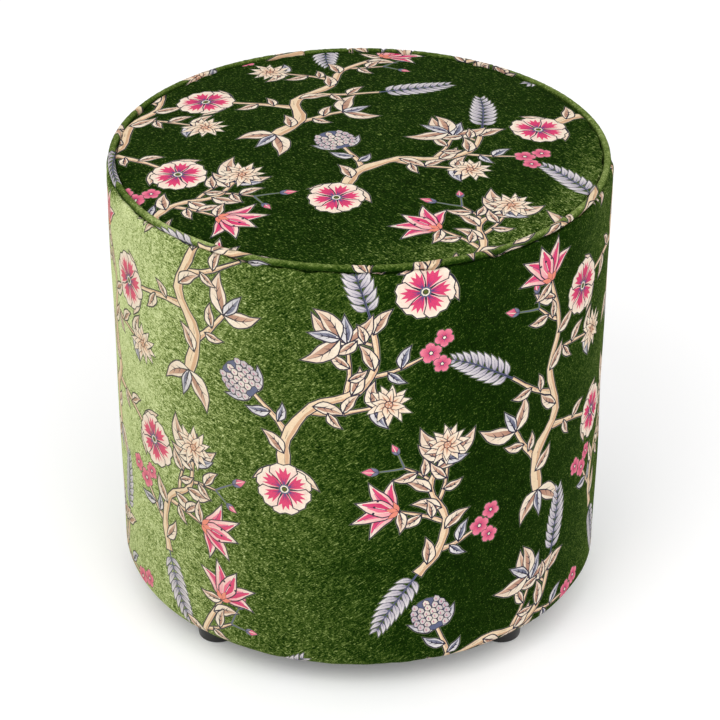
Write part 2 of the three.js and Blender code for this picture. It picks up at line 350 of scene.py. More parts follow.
def leaf(cloth, place, angle, length, width, curl=0.2, colours=BROWN_LEAF, mirror=False):
    """A pale leaf, shaded on one side of its midrib, with inked veins."""
    shade, light = colours
    outline, midrib = leaf_shape(length, width, curl, LEAF_STEPS, LEAF_WAVE_SHARE)

    def put(points):
        return swung(points, angle, place, mirror)

    root, tip = put([(0, 0), (length, 0)])
    cloth.outlined(put(outline), light, blended(light, shade, LEAF_TIP_SHADE), root, tip)
    dark = put(band_beside(midrib, 1, width, LEAF_DARK_SHARES))
    near, far = blended(shade, INK, LEAF_DARK_INK), blended(shade, light, LEAF_DARK_TIP_LIGHT)
    cloth.paint(dark, near, far, root, tip)
    cloth.line(put(midrib), MIDRIB_WIDTH, 0.0)
    ahead, aside = VEIN_REACH_SHARES
    for share in VEIN_START_SHARES:
        start = np.array([length * share, curl * length * math.sin(math.pi * share) / 2])
        for side in (1, -1):
            end = start + (length * ahead, side * width * aside)
            cloth.line(put([start, end]), VEIN_WIDTH, 0.0)


# Outlines in one petal: how far out, as a share of the flower's radius, and how far to the side,
# as a share of half the petal's angle
PETAL_SHARES = (
    (0.10, 0), (0.50, -0.80), (0.80, -1), (0.97, -0.72), (1.0, -0.35),
    (0.92, -0.05), (1.0, 0.30), (0.95, 0.72), (0.78, 1), (0.50, 0.80),
)
FLAME_SHARES = (
    (0.08, 0), (0.42, -0.62), (0.74, -0.60), (0.60, -0.36), (0.86, -0.20),
    (0.66, -0.02), (0.84, 0.22), (0.60, 0.34), (0.78, 0.58), (0.42, 0.62),
)
STREAK_SHARES = ((0.52, -0.30), (0.44, 0.02), (0.55, 0.34))
STREAK_ROOT_SHARE = 0.14
STREAK_WIDTH = 1.3
BLOSSOM_PETALS = 6
PETAL_ROOT = blended(CREAM, PINK, 0.35)
PETAL_INK_WIDTH = 0.95
PETAL_HALF_SHARE = 0.60
PETAL_TURN_CHANCE = 0.06
PETAL_REACH_CHANCE = (0.93, 1.05)
STAMEN_REACH_SHARE = 0.27
DOT_SHARE = 0.035
BLOSSOM_EYE_SHARES = ((0.20, SLATE), (0.15, CREAM), (0.105, INK), (0.08, OLIVE))


def blossom(cloth, place, angle, radius):
    """An open flower seen from the front, with notched petals streaked from the heart."""
    step = TURN / BLOSSOM_PETALS
    half = step * PETAL_HALF_SHARE
    for k in [*range(0, BLOSSOM_PETALS, 2), *range(1, BLOSSOM_PETALS, 2)]:
        a = angle + k * step + cloth.chance.uniform(-PETAL_TURN_CHANCE, PETAL_TURN_CHANCE)
        reach = radius * cloth.chance.uniform(*PETAL_REACH_CHANCE)

        def fan(shares):
            return np.array([toward(place, a + across * half, reach * out) for out, across in shares])

        tip = toward(place, a, reach)
        cloth.outlined(fan(PETAL_SHARES), PETAL_ROOT, CREAM, place, tip, width=PETAL_INK_WIDTH)
        cloth.paint(fan(FLAME_SHARES), PINK_DEEP, PINK, place, tip)
        for out, across in STREAK_SHARES:
            root = toward(place, a, reach * STREAK_ROOT_SHARE)
            end = toward(place, a + across * half, reach * out)
            cloth.line([root, end], STREAK_WIDTH, 0.0, VIOLET)
    stamens = ring(place, radius * STAMEN_REACH_SHARE, BLOSSOM_PETALS, angle + step / 2)
    cloth.dots(stamens, radius * DOT_SHARE, INK)
    cloth.eye(place, radius, BLOSSOM_EYE_SHARES)


# The two rings of a daisy's petals: their reach, how many, how far round they start, and their pale edge
DAISY_RINGS = ((1.0, 11, 0.0, PALE_WIDTH), (0.72, 8, 0.5, 0))
DAISY_WIDTH_SHARE = 0.36
DAISY_TURN_CHANCE = 0.08
DAISY_REACH_CHANCE = (0.88, 1.06)
DAISY_CURL_CHANCE = 0.15
DAISY_INK_WIDTH = 0.65
CREASE_SHARES = (0.15, 0.72)
CREASE_WIDTH = 2.5
DAISY_EYE_SHARES = ((0.19, INK), (0.155, PEACH_DEEP))
DAISY_DOTS = 5
DAISY_DOT_REACH_SHARE = 0.09


def daisy(cloth, place, angle, radius):
    """A flower of many narrow pointed petals, in two rings."""
    for reach_share, count, offset, pale in DAISY_RINGS:
        for k in range(count):
            a = angle + (k + offset) * TURN / count
            a += cloth.chance.uniform(-DAISY_TURN_CHANCE, DAISY_TURN_CHANCE)
            length = radius * reach_share * cloth.chance.uniform(*DAISY_REACH_CHANCE)
            curl = cloth.chance.uniform(-DAISY_CURL_CHANCE, DAISY_CURL_CHANCE)
            petal = swung(leaf_shape(length, radius * DAISY_WIDTH_SHARE, curl)[0], a, place)
            tip = toward(place, a, length)
            cloth.outlined(petal, PEACH, CREAM, place, tip, width=DAISY_INK_WIDTH, pale=pale)
            crease = [toward(place, a, length * share) for share in CREASE_SHARES]
            cloth.line(crease, CREASE_WIDTH, 0.0, PEACH_DEEP)
    cloth.eye(place, radius, DAISY_EYE_SHARES)
    cloth.dots(ring(place, radius * DAISY_DOT_REACH_SHARE, DAISY_DOTS), radius * DOT_SHARE, CREAM)


# Petals of a cup flower: lean, reach, width and curl, the outer ones first
CUP_PETAL_SHARES = (
    (1.15, 0.92, 0.32, -0.25), (-1.20, 0.85, 0.30, 0.30), (0.58, 1.06, 0.34, -0.10),
    (-0.62, 1.0, 0.34, 0.14), (0.02, 0.94, 0.42, 0.02),
)
CUP_STEPS = 7
CUP_WAVE_SHARE = 0.10
CUP_DARK_SHARES = (0, -0.16, -0.30, -0.36, -0.32, -0.22, -0.10)
CUP_LIGHT_SHARES = (0.10, 0.19, 0.22, 0.17, 0.09)
CUP_RIB_WIDTHS = (0.7, 0.25)
STAMEN_LEANS = (-0.35, 0.0, 0.33)
STAMEN_LENGTH_SHARE = 0.52
STAMEN_WIDTHS = (0.7, 0.4)
STAMEN_DOT_SIDES = 5
SEPAL_LEANS = (-0.9, 0.0, 0.9)
SEPAL_SHARES = (0.30, 0.13)
SEPAL_DROP_SHARE = 0.06
SEPAL_INK_WIDTH = 0.4


def cup_flower(cloth, place, angle, size):
    """A flower seen from the side: long petals that open from a calyx."""
    for lean, reach, breadth, curl in CUP_PETAL_SHARES:
        length, width = size * reach, size * breadth
        outline, midrib = leaf_shape(length, width, curl, CUP_STEPS, CUP_WAVE_SHARE)
        tip = toward(place, angle + lean, length)

        def put(points):
            return swung(points, angle + lean, place)

        cloth.outlined(put(outline), PINK_LIGHT, CREAM, place, tip)
        cloth.paint(put(band_beside(midrib, 0, width, CUP_DARK_SHARES)), PINK_DEEP, PINK, place, tip)
        cloth.paint(put(band_beside(midrib, 1, width, CUP_LIGHT_SHARES)), PINK, PINK_LIGHT, place, tip)
        cloth.line(put(midrib[1:]), *CUP_RIB_WIDTHS, VIOLET)
    for lean in STAMEN_LEANS:
        tip = toward(place, angle + lean, size * STAMEN_LENGTH_SHARE)
        cloth.line([place, tip], *STAMEN_WIDTHS, CREAM)
        cloth.dots([tip], size * DOT_SHARE, INK, STAMEN_DOT_SIDES)
    sepal = leaf_shape(size * SEPAL_SHARES[0], size * SEPAL_SHARES[1], 0.0)[0]
    root = toward(place, angle, -size * SEPAL_DROP_SHARE)
    for lean in SEPAL_LEANS:
        cloth.outlined(swung(sepal, angle + lean, root), CORAL, width=SEPAL_INK_WIDTH, pale=0)


SMALL_PETALS = 5
SMALL_PETAL_SHARE = 0.44
SMALL_PETAL_SIDES = 7
SMALL_EYE_SIDES = 6
SMALL_INK_WIDTH = 0.45
SMALL_EYE_SHARES = ((0.24, INK), (0.16, CREAM))


def small_blossom(cloth, place, angle, radius):
    """A small flower of round petals."""
    reach = radius * (1 - SMALL_PETAL_SHARE)
    spots = [(a, toward(place, a, reach)) for a in angle + np.arange(SMALL_PETALS) * TURN / SMALL_PETALS]
    petals = [ring(spot, radius * SMALL_PETAL_SHARE, SMALL_PETAL_SIDES, a) for a, spot in spots]
    for petal in petals:
        cloth.ink(petal, SMALL_INK_WIDTH)
    for petal, (a, spot) in zip(petals, spots):
        cloth.paint(petal, PINK_DEEP, PINK_LIGHT, place, toward(place, a, radius))
        cloth.line([place, spot], 1.0, 0.0, VIOLET)
    cloth.eye(place, radius, SMALL_EYE_SHARES, SMALL_EYE_SIDES)


# Blossoms of a cluster: reach, how far aside, radius and twist
CLUSTER = ((6, 0, 10, 0), (22, 7, 9, 0.5), (10, -15, 8.5, 1))


def cluster(cloth, place, angle):
    for reach, aside, radius, twist in CLUSTER:
        small_blossom(cloth, swung([(reach, aside)], angle, place)[0], angle + twist, radius)


# The fern's stem: the share of its length, and of its bend to one side
FERN_STEM_SHARES = np.array([(0, 0), (0.35, 0.35), (0.7, 0.8), (1, 1.5)])
FERN_BEND = 7
FERN_PAIRS = 9
FERN_PAIR_SHARES = (0.12, 0.98)
FERN_STEM_WIDTHS = (2.0, 0.8)
FERN_STEM_INK_WIDTHS = (0.7, 0.3)

# Its leaflets: their length as a share of the fern's, where the swell of their lengths begins and how much
# of a half wave it takes, their lean at the root and how much less at the tip, their width and their curl
LEAFLET_LENGTH_SHARE = 0.27
LEAFLET_SWELL = (0.22, 0.66)
LEAFLET_SWELL_POWER = 0.8
LEAFLET_LEANS = (0.95, 0.45)
LEAFLET_WIDTH_SHARE = 0.34
LEAFLET_CURL = 0.18
LEAFLET_INK = blended(SLATE, INK, 0.5)
LEAFLET_INK_WIDTH = 0.60
LEAFLET_RIB_WIDTH = 0.8


def fern(cloth, place, angle, length):
    """A spray of paired narrow leaflets on a slate stem."""
    stem = swung(smooth_path(FERN_STEM_SHARES * (length, FERN_BEND)), angle, place)
    for share in np.linspace(*FERN_PAIR_SHARES, FERN_PAIRS):
        spot, heading = along(stem, share)
        swell = math.sin(math.pi * (LEAFLET_SWELL[0] + LEAFLET_SWELL[1] * share))
        size = length * LEAFLET_LENGTH_SHARE * swell ** LEAFLET_SWELL_POWER
        for side in (1, -1):
            a = heading + side * (LEAFLET_LEANS[0] - LEAFLET_LEANS[1] * share)
            outline, midrib = leaf_shape(size, size * LEAFLET_WIDTH_SHARE, side * LEAFLET_CURL)
            cloth.outlined(
                swung(outline, a, spot), LILAC, WHITE, spot, toward(spot, a, size),
                width=LEAFLET_INK_WIDTH, colour=LEAFLET_INK,
            )
            cloth.line(swung(midrib[:-1], a, spot), LEAFLET_RIB_WIDTH, 0.0, SLATE)
    cloth.line(stem, *FERN_STEM_WIDTHS, SLATE)
    cloth.line(stem, *FERN_STEM_INK_WIDTHS)


# Rows of scales on a seed head: how far along it, as a share of its radius, and how many
SCALE_ROWS = ((0.72, 3), (0.42, 5), (0.10, 6), (-0.22, 6), (-0.52, 5), (-0.80, 2))
SCALE_SHARES = np.array([(0.9, 0), (0.35, 0.62), (-0.5, 0.7), (-0.75, 0), (-0.5, -0.7), (0.35, -0.62)])

# The size of a scale as a share of the head's, how far across its row goes, its ink's and its tip's size as
# shares of its own, and how pale it is at the sides and how much more in the middle
SCALE_SIZE_SHARE = 0.23
SCALE_ROW_SHARE = 0.85
SCALE_INK_SHARE = 1.22
SCALE_TIP_SHARE = 0.42
SCALE_LIGHT_SHARES = (0.25, 0.5)
SCALE_TIP = blended(PINK_LIGHT, SLATE, 0.3)
SEED_HEAD_SIDES = 14
SEED_HEAD_INK_WIDTH = 0.5


def seed_head(cloth, place, angle, size):
    """A round head of overlapping scales."""
    cloth.outlined(ring(place, size, SEED_HEAD_SIDES), SLATE, width=SEED_HEAD_INK_WIDTH)
    scale = SCALE_SHARES * size * SCALE_SIZE_SHARE
    for share, count in SCALE_ROWS:
        span = math.sqrt(1 - share * share) * SCALE_ROW_SHARE
        for across in np.linspace(-span, span, count):
            middle = (size * share, size * across)
            light = SCALE_LIGHT_SHARES[0] + SCALE_LIGHT_SHARES[1] * (1 - abs(across))
            for points, colour in (
                (scale * SCALE_INK_SHARE, INK), (scale, blended(LILAC, CREAM, light)),
                (scale[:4] * SCALE_TIP_SHARE, SCALE_TIP),
            ):
                cloth.paint(swung(points + middle, angle, place), colour)


BUD_WIDTH_SHARE = 0.52
BUD_STEPS = 5
BUD_INK_WIDTH = 0.5
BUD_LIGHT_SHARES = np.array([(0.2, 0.05), (0.85, 0.02)])
BUD_LIGHT_WIDTHS = (1.0, 0.3)
BUD_SEPAL_SHARES = (0.55, 0.2)
BUD_SEPAL_LEAN = 0.55
TWIG_WIDTH = 1.3
TWIG_BEND_SHARES = np.array([(0, 0), (0.5, 0.6), (1, 1)])
TWIG_PALE_WIDTH = 0.8


def bud(cloth, place, angle, size):
    outline = swung(leaf_shape(size, size * BUD_WIDTH_SHARE, 0.0, BUD_STEPS)[0], angle, place)
    tip = toward(place, angle, size)
    cloth.outlined(outline, PINK_DEEP, PINK_LIGHT, place, tip, width=BUD_INK_WIDTH)
    cloth.line(swung(BUD_LIGHT_SHARES * size, angle, place), *BUD_LIGHT_WIDTHS, CREAM)
    sepal = leaf_shape(size * BUD_SEPAL_SHARES[0], size * BUD_SEPAL_SHARES[1], 0.0)[0]
    for lean in (-BUD_SEPAL_LEAN, BUD_SEPAL_LEAN):
        own = swung(sepal, angle + lean, place)
        cloth.outlined(own, SLATE, LILAC, place, tip, width=SEPAL_INK_WIDTH, pale=0)


def twig(cloth, place, angle, length, bend):
    path = swung(smooth_path(TWIG_BEND_SHARES * (length, bend)), angle, place)
    outline = stroke(path, np.linspace(TWIG_WIDTH, TWIG_WIDTH / 2, len(path)))
    cloth.pale_edge(outline, TWIG_PALE_WIDTH)
    cloth.paint(outline, SLATE)
    return path[-1]


# Buds on their twigs: lean, the twig's length and bend, and the bud's size
BUDS = ((0.4, 22, 4, 15), (-0.5, 15, -3, 12))
BUD_LEAN_SHARE = 1.2


def buds(cloth, place, angle):
    for lean, length, bend, size in BUDS:
        end = twig(cloth, place, angle + lean, length, bend)
        bud(cloth, end, angle + lean * BUD_LEAN_SHARE, size)


GNARL_SHARE = 0.17
GNARL_PITCH = 1.9
LIMB_SHADE_ASIDE_SHARE = 0.28
LIMB_SHADE_WIDTH_SHARE = 0.30
LIMB_INK_WIDTH = 1.05

# The short lines of the bark: how far aside by chance and how long, as shares of the limb's width
BARK_ASIDE_CHANCE = (-0.15, 0.30)
BARK_LENGTH_SHARE = 1.1
BARK_STEP = 3
BARK_WIDTHS = (0.5, 0.15)
BARK_INK = blended(INK, LIMB_SHADE, 0.4)


def limb(cloth, path, width_from, width_to):
    """A gnarled limb: cream with a shaded side, inked all round."""
    swell = 1 + GNARL_SHARE * np.sin(GNARL_PITCH * np.arange(len(path)) + width_from)
    widths = np.linspace(width_from, width_to, len(path)) * swell
    cloth.outlined(stroke(path, widths), LIMB, width=LIMB_INK_WIDTH)
    way = unit(np.gradient(path, axis=0))
    side = left_of(way)
    middle = path - side * (widths * LIMB_SHADE_ASIDE_SHARE)[:, None]
    cloth.paint(stroke(middle, widths * LIMB_SHADE_WIDTH_SHARE), LIMB_SHADE)
    for i in range(1, len(path) - 2, BARK_STEP):
        spot = path[i] + side[i] * widths[i] * cloth.chance.uniform(*BARK_ASIDE_CHANCE)
        end = spot + way[i] * widths[i] * BARK_LENGTH_SHARE
        cloth.line([spot, end], *BARK_WIDTHS, BARK_INK)


# What a limb ends in: its leaves, each with its lean, length and width, and where they differ its curl and
# colours, and then its flower, with the flower's reach past the limb and its size
ENDS = {
    "blossom": ([(1.1, 34, 13), (-1.2, 30, 12)], blossom, 18, 26),
    "daisy": ([(1.3, 26, 10), (-1.2, 24, 9, 0.2, GREY_LEAF)], daisy, 14, 21),
    "cup": ([(1.9, 22, 9)], cup_flower, 3, 38),
    "fern": ([], fern, 0, 66),
    "seeds": ([(1.0, 27, 10, 0.2, GREY_LEAF), (-1.0, 27, 10, 0.2, GREY_LEAF)], seed_head, 16, 18),
    "cluster": ([], cluster, 0),
    "buds": ([], buds, 0),
    "leaves": ([(0.75, 40, 15.5, 0.25), (-0.75, 34, 14, 0.25), (0.0, 27, 9.5, 0.0, GREY_LEAF)], None, 0),
}


def limb_end(cloth, kind, place, angle):
    leaves, flower, reach, *size = ENDS[kind]
    for lean, *form in leaves:
        leaf(cloth, place, angle + lean, *form, mirror=lean < 0)
    if flower:
        flower(cloth, toward(place, angle, reach), angle, *size)


# A spray is a limb with side limbs. Each side limb has its share of the limb's length, its side,
# its length, its bend and what it ends in.
SPRAYS = {
    "tall": dict(
        points=[(0, 0), (34, 20), (76, 14), (112, 44), (150, 52), (188, 88)],
        width=(11.5, 3.6), start="leaves", end="cup",
        sides=[(0.16, 1, 44, -8, "leaves"), (0.30, -1, 66, 10, "blossom"), (0.46, 1, 62, -14, "fern"),
               (0.64, -1, 52, 12, "daisy"), (0.80, 1, 34, -6, "buds")],
    ),
    "arched": dict(
        points=[(0, 0), (30, -16), (72, -14), (106, 10), (140, 8), (172, -18)],
        width=(10.5, 3.2), start="blossom", end="fern",
        sides=[(0.20, -1, 46, 8, "seeds"), (0.36, 1, 54, -12, "daisy"), (0.55, -1, 50, 12, "leaves"),
               (0.70, 1, 48, -8, "cluster"), (0.86, -1, 30, 6, "leaves")],
    ),
    "short": dict(
        points=[(0, 0), (26, 16), (58, 18), (88, 0), (118, 6)],
        width=(8.8, 3.0), start="fern", end="daisy",
        sides=[(0.22, 1, 36, -8, "cluster"), (0.45, -1, 44, 8, "cup"), (0.62, 1, 46, -10, "leaves"),
               (0.82, -1, 28, 6, "buds")],
    ),
}
SIDE_LIMB_LEAN = 0.95
SIDE_LIMB_WIDTH_SHARES = (0.62, 0.26)
SIDE_LIMB_BEND_SHARES = np.array([(0, 0), (0.45, 0.3), (1, 1.2)])

# Leaves straight on a limb: their share of its length, and their side, and then the lean, length and width
LIMB_LEAVES = ((0.10, -1), (0.40, 1), (0.58, -1), (0.74, -1), (0.92, 1))
LIMB_LEAF = (0.8, 27, 11)

# The two leaves on each side limb: their share of its length, lean, length and width
SIDE_LIMB_LEAVES = ((0.55, 0.8, 22, 9), (0.32, -0.9, 18, 7.5))

# Where the middle of each spray lies on the repeat, its turn, and whether it is mirrored
LAYOUT = [
    ("tall", (46, 147), 1.10, False),
    ("arched", (477, 346), 0.57, True),
    ("short", (160, 29), 1.20, False),
    ("tall", (191, 277), 1.88, True),
    ("arched", (319, 178), 1.02, True),
    ("short", (410, 54), 1.45, True),
]


def spray(cloth, name, middle, angle, mirror):
    plan = SPRAYS[name]
    flip = -1 if mirror else 1
    middle = middle - swung([np.mean(plan["points"], axis=0)], angle, mirror=mirror)[0]
    stem = swung(smooth_path(plan["points"]), angle, middle, mirror)
    start, first_heading = along(stem, 0)
    thick, thin = plan["width"]
    sides = []
    for share, side, length, bend, end in plan["sides"]:
        spot, heading = along(stem, share)
        points = smooth_path(SIDE_LIMB_BEND_SHARES * (length, bend * side))
        path = swung(points, heading + side * flip * SIDE_LIMB_LEAN, spot, mirror)
        width = thick + (thin - thick) * share
        limb(cloth, path, *(width * part for part in SIDE_LIMB_WIDTH_SHARES))
        sides.append((path, end))
    limb(cloth, stem, thick, thin)
    limb_end(cloth, plan["start"], start, first_heading + math.pi)
    lean, *leaf_size = LIMB_LEAF
    for share, side in LIMB_LEAVES:
        spot, heading = along(stem, share)
        leaf(cloth, spot, heading + side * flip * lean, *leaf_size, mirror=side < 0)
    for path, end in sides:
        colours = GREY_LEAF if end in ("cluster", "seeds") else BROWN_LEAF
        for share, lean, *leaf_size in SIDE_LIMB_LEAVES:
            spot, heading = along(path, share)
            leaf(cloth, spot, heading + lean, *leaf_size, colours=colours, mirror=lean < 0)
        limb_end(cloth, end, *along(path, 1))
    limb_end(cloth, plan["end"], *along(stem, 1))


# Cutting the cloth: how near two places are one, how far off a straight line a corner may be joined, and
# the reach over which a surface's direction is read
MERGE_REACH = 1e-4
BACK_MERGE_REACH = 1e-5
STRAIGHT_REACH = 0.13
FACING_REACH = 0.2

# The map for baking: the share of its width for what is hidden, how full that strip and its two halves are,
# and the margin of a row of seen cloth
HIDDEN_STRIP_SHARE = 0.14
HIDDEN_FILL_SHARE = 0.9
HIDDEN_HALF = 0.5
HIDDEN_HALF_FILL = 0.48
HIDDEN_LENGTH_SHARE = 0.98
HIDDEN_START = 0.01
ROW_MARGIN_SHARE = 0.02


def linear(colour):
    """A colour as it looks, turned into the scene's linear light."""
    c = np.asarray(colour, float)
    return np.where(c <= 0.04045, c / 12.92, ((c + 0.055) / 1.055) ** 2.4)


def inside(outline, spots):
    """Which spots lie inside a closed outline, by the odd number of edges to their right."""
    x, y = spots[:, 0:1], spots[:, 1:2]
    ax, ay = outline[:, 0], outline[:, 1]
    bx, by = np.roll(ax, -1), np.roll(ay, -1)
    crosses = (ay > y) != (by > y)
    rise = np.where(by == ay, 1.0, by - ay)
    right = x < (bx - ax) * (y - ay) / rise + ax
    return (crosses & right).sum(1) % 2 == 1


def repeats_over(low, high, first, last):
    """The shifts by whole repeats that bring something from low to high over a box from first to last."""
    steps = [
        range(math.ceil((first[k] - high[k]) / REPEAT[k]), math.floor((last[k] - low[k]) / REPEAT[k]) + 1)
        for k in (0, 1)
    ]
    return [np.array([i * REPEAT[0], j * REPEAT[1]]) for i in steps[0] for j in steps[1]]


def rectangle(low, high):
    return [(low[0], low[1]), (high[0], low[1]), (high[0], high[1]), (low[0], high[1])]


def shapes_over(cloth, low, high, turn, origin):
    """Every printed shape that reaches into a piece's box, in the piece's own flat places."""
    box = swung(rectangle(low, high), turn, origin)
    kept = []
    for points, near, far, start, end in [*cloth.pale, *cloth.shapes]:
        for shift in repeats_over(points.min(0), points.max(0), box.min(0), box.max(0)):
            own = swung(points + shift - origin, -turn)
            if (own.max(0) > low).all() and (own.min(0) < high).all():
                ends = swung(np.array([start, end]) + shift - origin, -turn)
                kept.append((own, near, far, ends[0], ends[1]))
    return kept


def topmost(shapes, spots):
    """For each spot the last shape that covers it, or -1 on the bare ground."""
    order = np.argsort(spots[:, 0])
    ranked = spots[order]
    top = np.full(len(spots), -1)
    for k, shape in enumerate(shapes):
        low, high = shape[0].min(0), shape[0].max(0)
        near = np.arange(*np.searchsorted(ranked[:, 0], (low[0], high[0])))
        near = near[(ranked[near, 1] > low[1]) & (ranked[near, 1] < high[1])]
        covered = near[inside(shape[0], ranked[near])]
        top[order[covered]] = k
    return top


def sides_of(triangles):
    return np.vstack([triangles[:, [0, 1]], triangles[:, [1, 2]], triangles[:, [2, 0]]])


def edges_between(triangles, labels):
    """The edges whose two sides carry different labels."""
    edges = np.sort(sides_of(triangles), axis=1)
    owner = np.tile(labels, 3)
    order = np.lexsort((edges[:, 1], edges[:, 0]))
    edges, owner = edges[order], owner[order]
    paired = (edges[1:] == edges[:-1]).all(1)
    return edges[1:][paired & (owner[1:] != owner[:-1])]


def without_straight_corners(places, edges):
    """Joins the two edges at each corner that lies on a straight line."""
    beside = {}
    for a, b in edges.tolist():
        beside.setdefault(a, set()).add(b)
        beside.setdefault(b, set()).add(a)
    for corner in list(beside):
        if len(beside[corner]) == 2:
            a, b = beside[corner]
            way, half = places[b] - places[a], places[corner] - places[a]
            off = abs(way[0] * half[1] - way[1] * half[0]) / (np.linalg.norm(way) + 1e-9)
            if off < STRAIGHT_REACH and b not in beside[a]:
                beside[a].symmetric_difference_update((corner, b))
                beside[b].symmetric_difference_update((corner, a))
                del beside[corner]
    return np.array([(a, b) for a, others in beside.items() for b in others if a < b])


def triangulated(places, edges, rim_count, merge_reach=MERGE_REACH):
    """Triangles inside the outline that the first places make, with the edges kept as sides of triangles.

    It gives the places, the triangles, and which of the given places each place stands for.
    """
    rim = [list(range(rim_count))]
    found = delaunay_2d_cdt([Vector(p) for p in places], edges, rim, 0, merge_reach, True)
    kept = [corners for corners, owners in zip(found[2], found[5]) if owners]
    return np.array([tuple(v) for v in found[0]]), np.array(kept), found[3]


def seen_edges(cloth):
    """The edges of the print that are seen, worked out once on one repeat, as pairs of places."""
    shapes = shapes_over(cloth, (0, 0), REPEAT, 0.0, np.zeros(2))
    rings = [np.array(rectangle((0, 0), REPEAT)), *[shape[0] for shape in shapes]]
    firsts = np.cumsum([0] + [len(r) for r in rings])
    edges = [(a + i, a + (i + 1) % (b - a)) for a, b in zip(firsts[1:-1], firsts[2:]) for i in range(b - a)]
    places, triangles, _ = triangulated(np.vstack(rings), edges, 4)
    top = topmost(shapes, places[triangles].mean(1))
    edges = without_straight_corners(places, edges_between(triangles, top))
    return places[edges]


def printed_cloth():
    cloth = Print()
    for name, middle, angle, mirror in LAYOUT:
        spray(cloth, name, middle, angle, mirror)
    cloth.edges = seen_edges(cloth)
    return cloth


def cut_cloth(cloth, outline, grid, turn, origin):
    """Cuts a printed piece. The print's edges become edges of its triangles, so that its colours stay sharp.

    It gives the flat places, the triangles, and the colour at each triangle's corners.
    """
    outline = np.asarray(outline, float)
    grid = np.asarray(grid, float)
    origin = np.asarray(origin, float)
    low, high = outline.min(0), outline.max(0)
    box = swung(rectangle(low, high), turn, origin)
    drawn = []
    for shift in repeats_over((0, 0), REPEAT, box.min(0), box.max(0)):
        own = swung((cloth.edges + shift - origin).reshape(-1, 2), -turn).reshape(-1, 2, 2)
        drawn.append(own[(own.max(1) > low).all(1) & (own.min(1) < high).all(1)])
    drawn = np.vstack(drawn)
    edges = len(outline) + np.arange(len(drawn) * 2).reshape(-1, 2)
    places = np.vstack([outline, drawn.reshape(-1, 2), grid])
    places, triangles, _ = triangulated(places, edges.tolist(), len(outline))
    shapes = shapes_over(cloth, low, high, turn, origin)
    top = topmost(shapes, places[triangles].mean(1)) + 1
    used, triangles = np.unique(triangles, return_inverse=True)
    places, triangles = places[used], triangles.reshape(-1, 3)
    bare_ground = (None, (0, 0, 0), (0, 0, 0), np.array([0, 0]), np.array([1, 0]))
    _, near, far, start, end = zip(bare_ground, *shapes)
    near, far = linear(near)[top][:, None], linear(far)[top][:, None]
    start, end = np.array(start)[top][:, None], np.array(end)[top][:, None]
    way = end - start
    share = ((places[triangles] - start) * way).sum(2) / (way * way).sum(2)
    share = np.clip(share, 0, 1)[:, :, None]
    colours = np.ones((len(triangles), 3, 4))
    colours[:, :, :3] = near * (1 - share) + far * share
    colours[:, :, 3] = (top > 0)[:, None]
    return places, triangles, colours


def rim_of(triangles):
    """The outer edges of a sheet, each in its triangle's own direction."""
    edges = sides_of(triangles).tolist()
    known = {(a, b) for a, b in edges}
    return [(a, b) for a, b in edges if (b, a) not in known]


def rings_of(edges):
    """The outer edges put in order, as closed rings of corners."""
    following = dict(edges)
    rings = []
    while following:
        corner = next(iter(following))
        ordered = []
        while corner in following:
            ordered.append(corner)
            corner = following.pop(corner)
        rings.append(ordered)
    return rings


def facing(surface, flat):
    """The direction that a surface faces at flat places."""
    right, up = (surface(flat + step) - surface(flat - step) for step in np.eye(2) * FACING_REACH)
    return unit(np.cross(right, up))


def new_object(name, data):
    made = bpy.data.objects.new(name, data)
    bpy.context.scene.collection.objects.link(made)
    return made


def smooth_object(name, places, faces):
    """A smooth mesh object from places in millimetres."""
    mesh = bpy.data.meshes.new(name)
    mesh.from_pydata((np.asarray(places, float) * MM).tolist(), [], faces)
    mesh.polygons.foreach_set("use_smooth", np.ones(len(mesh.polygons), bool))
    return new_object(name, mesh)


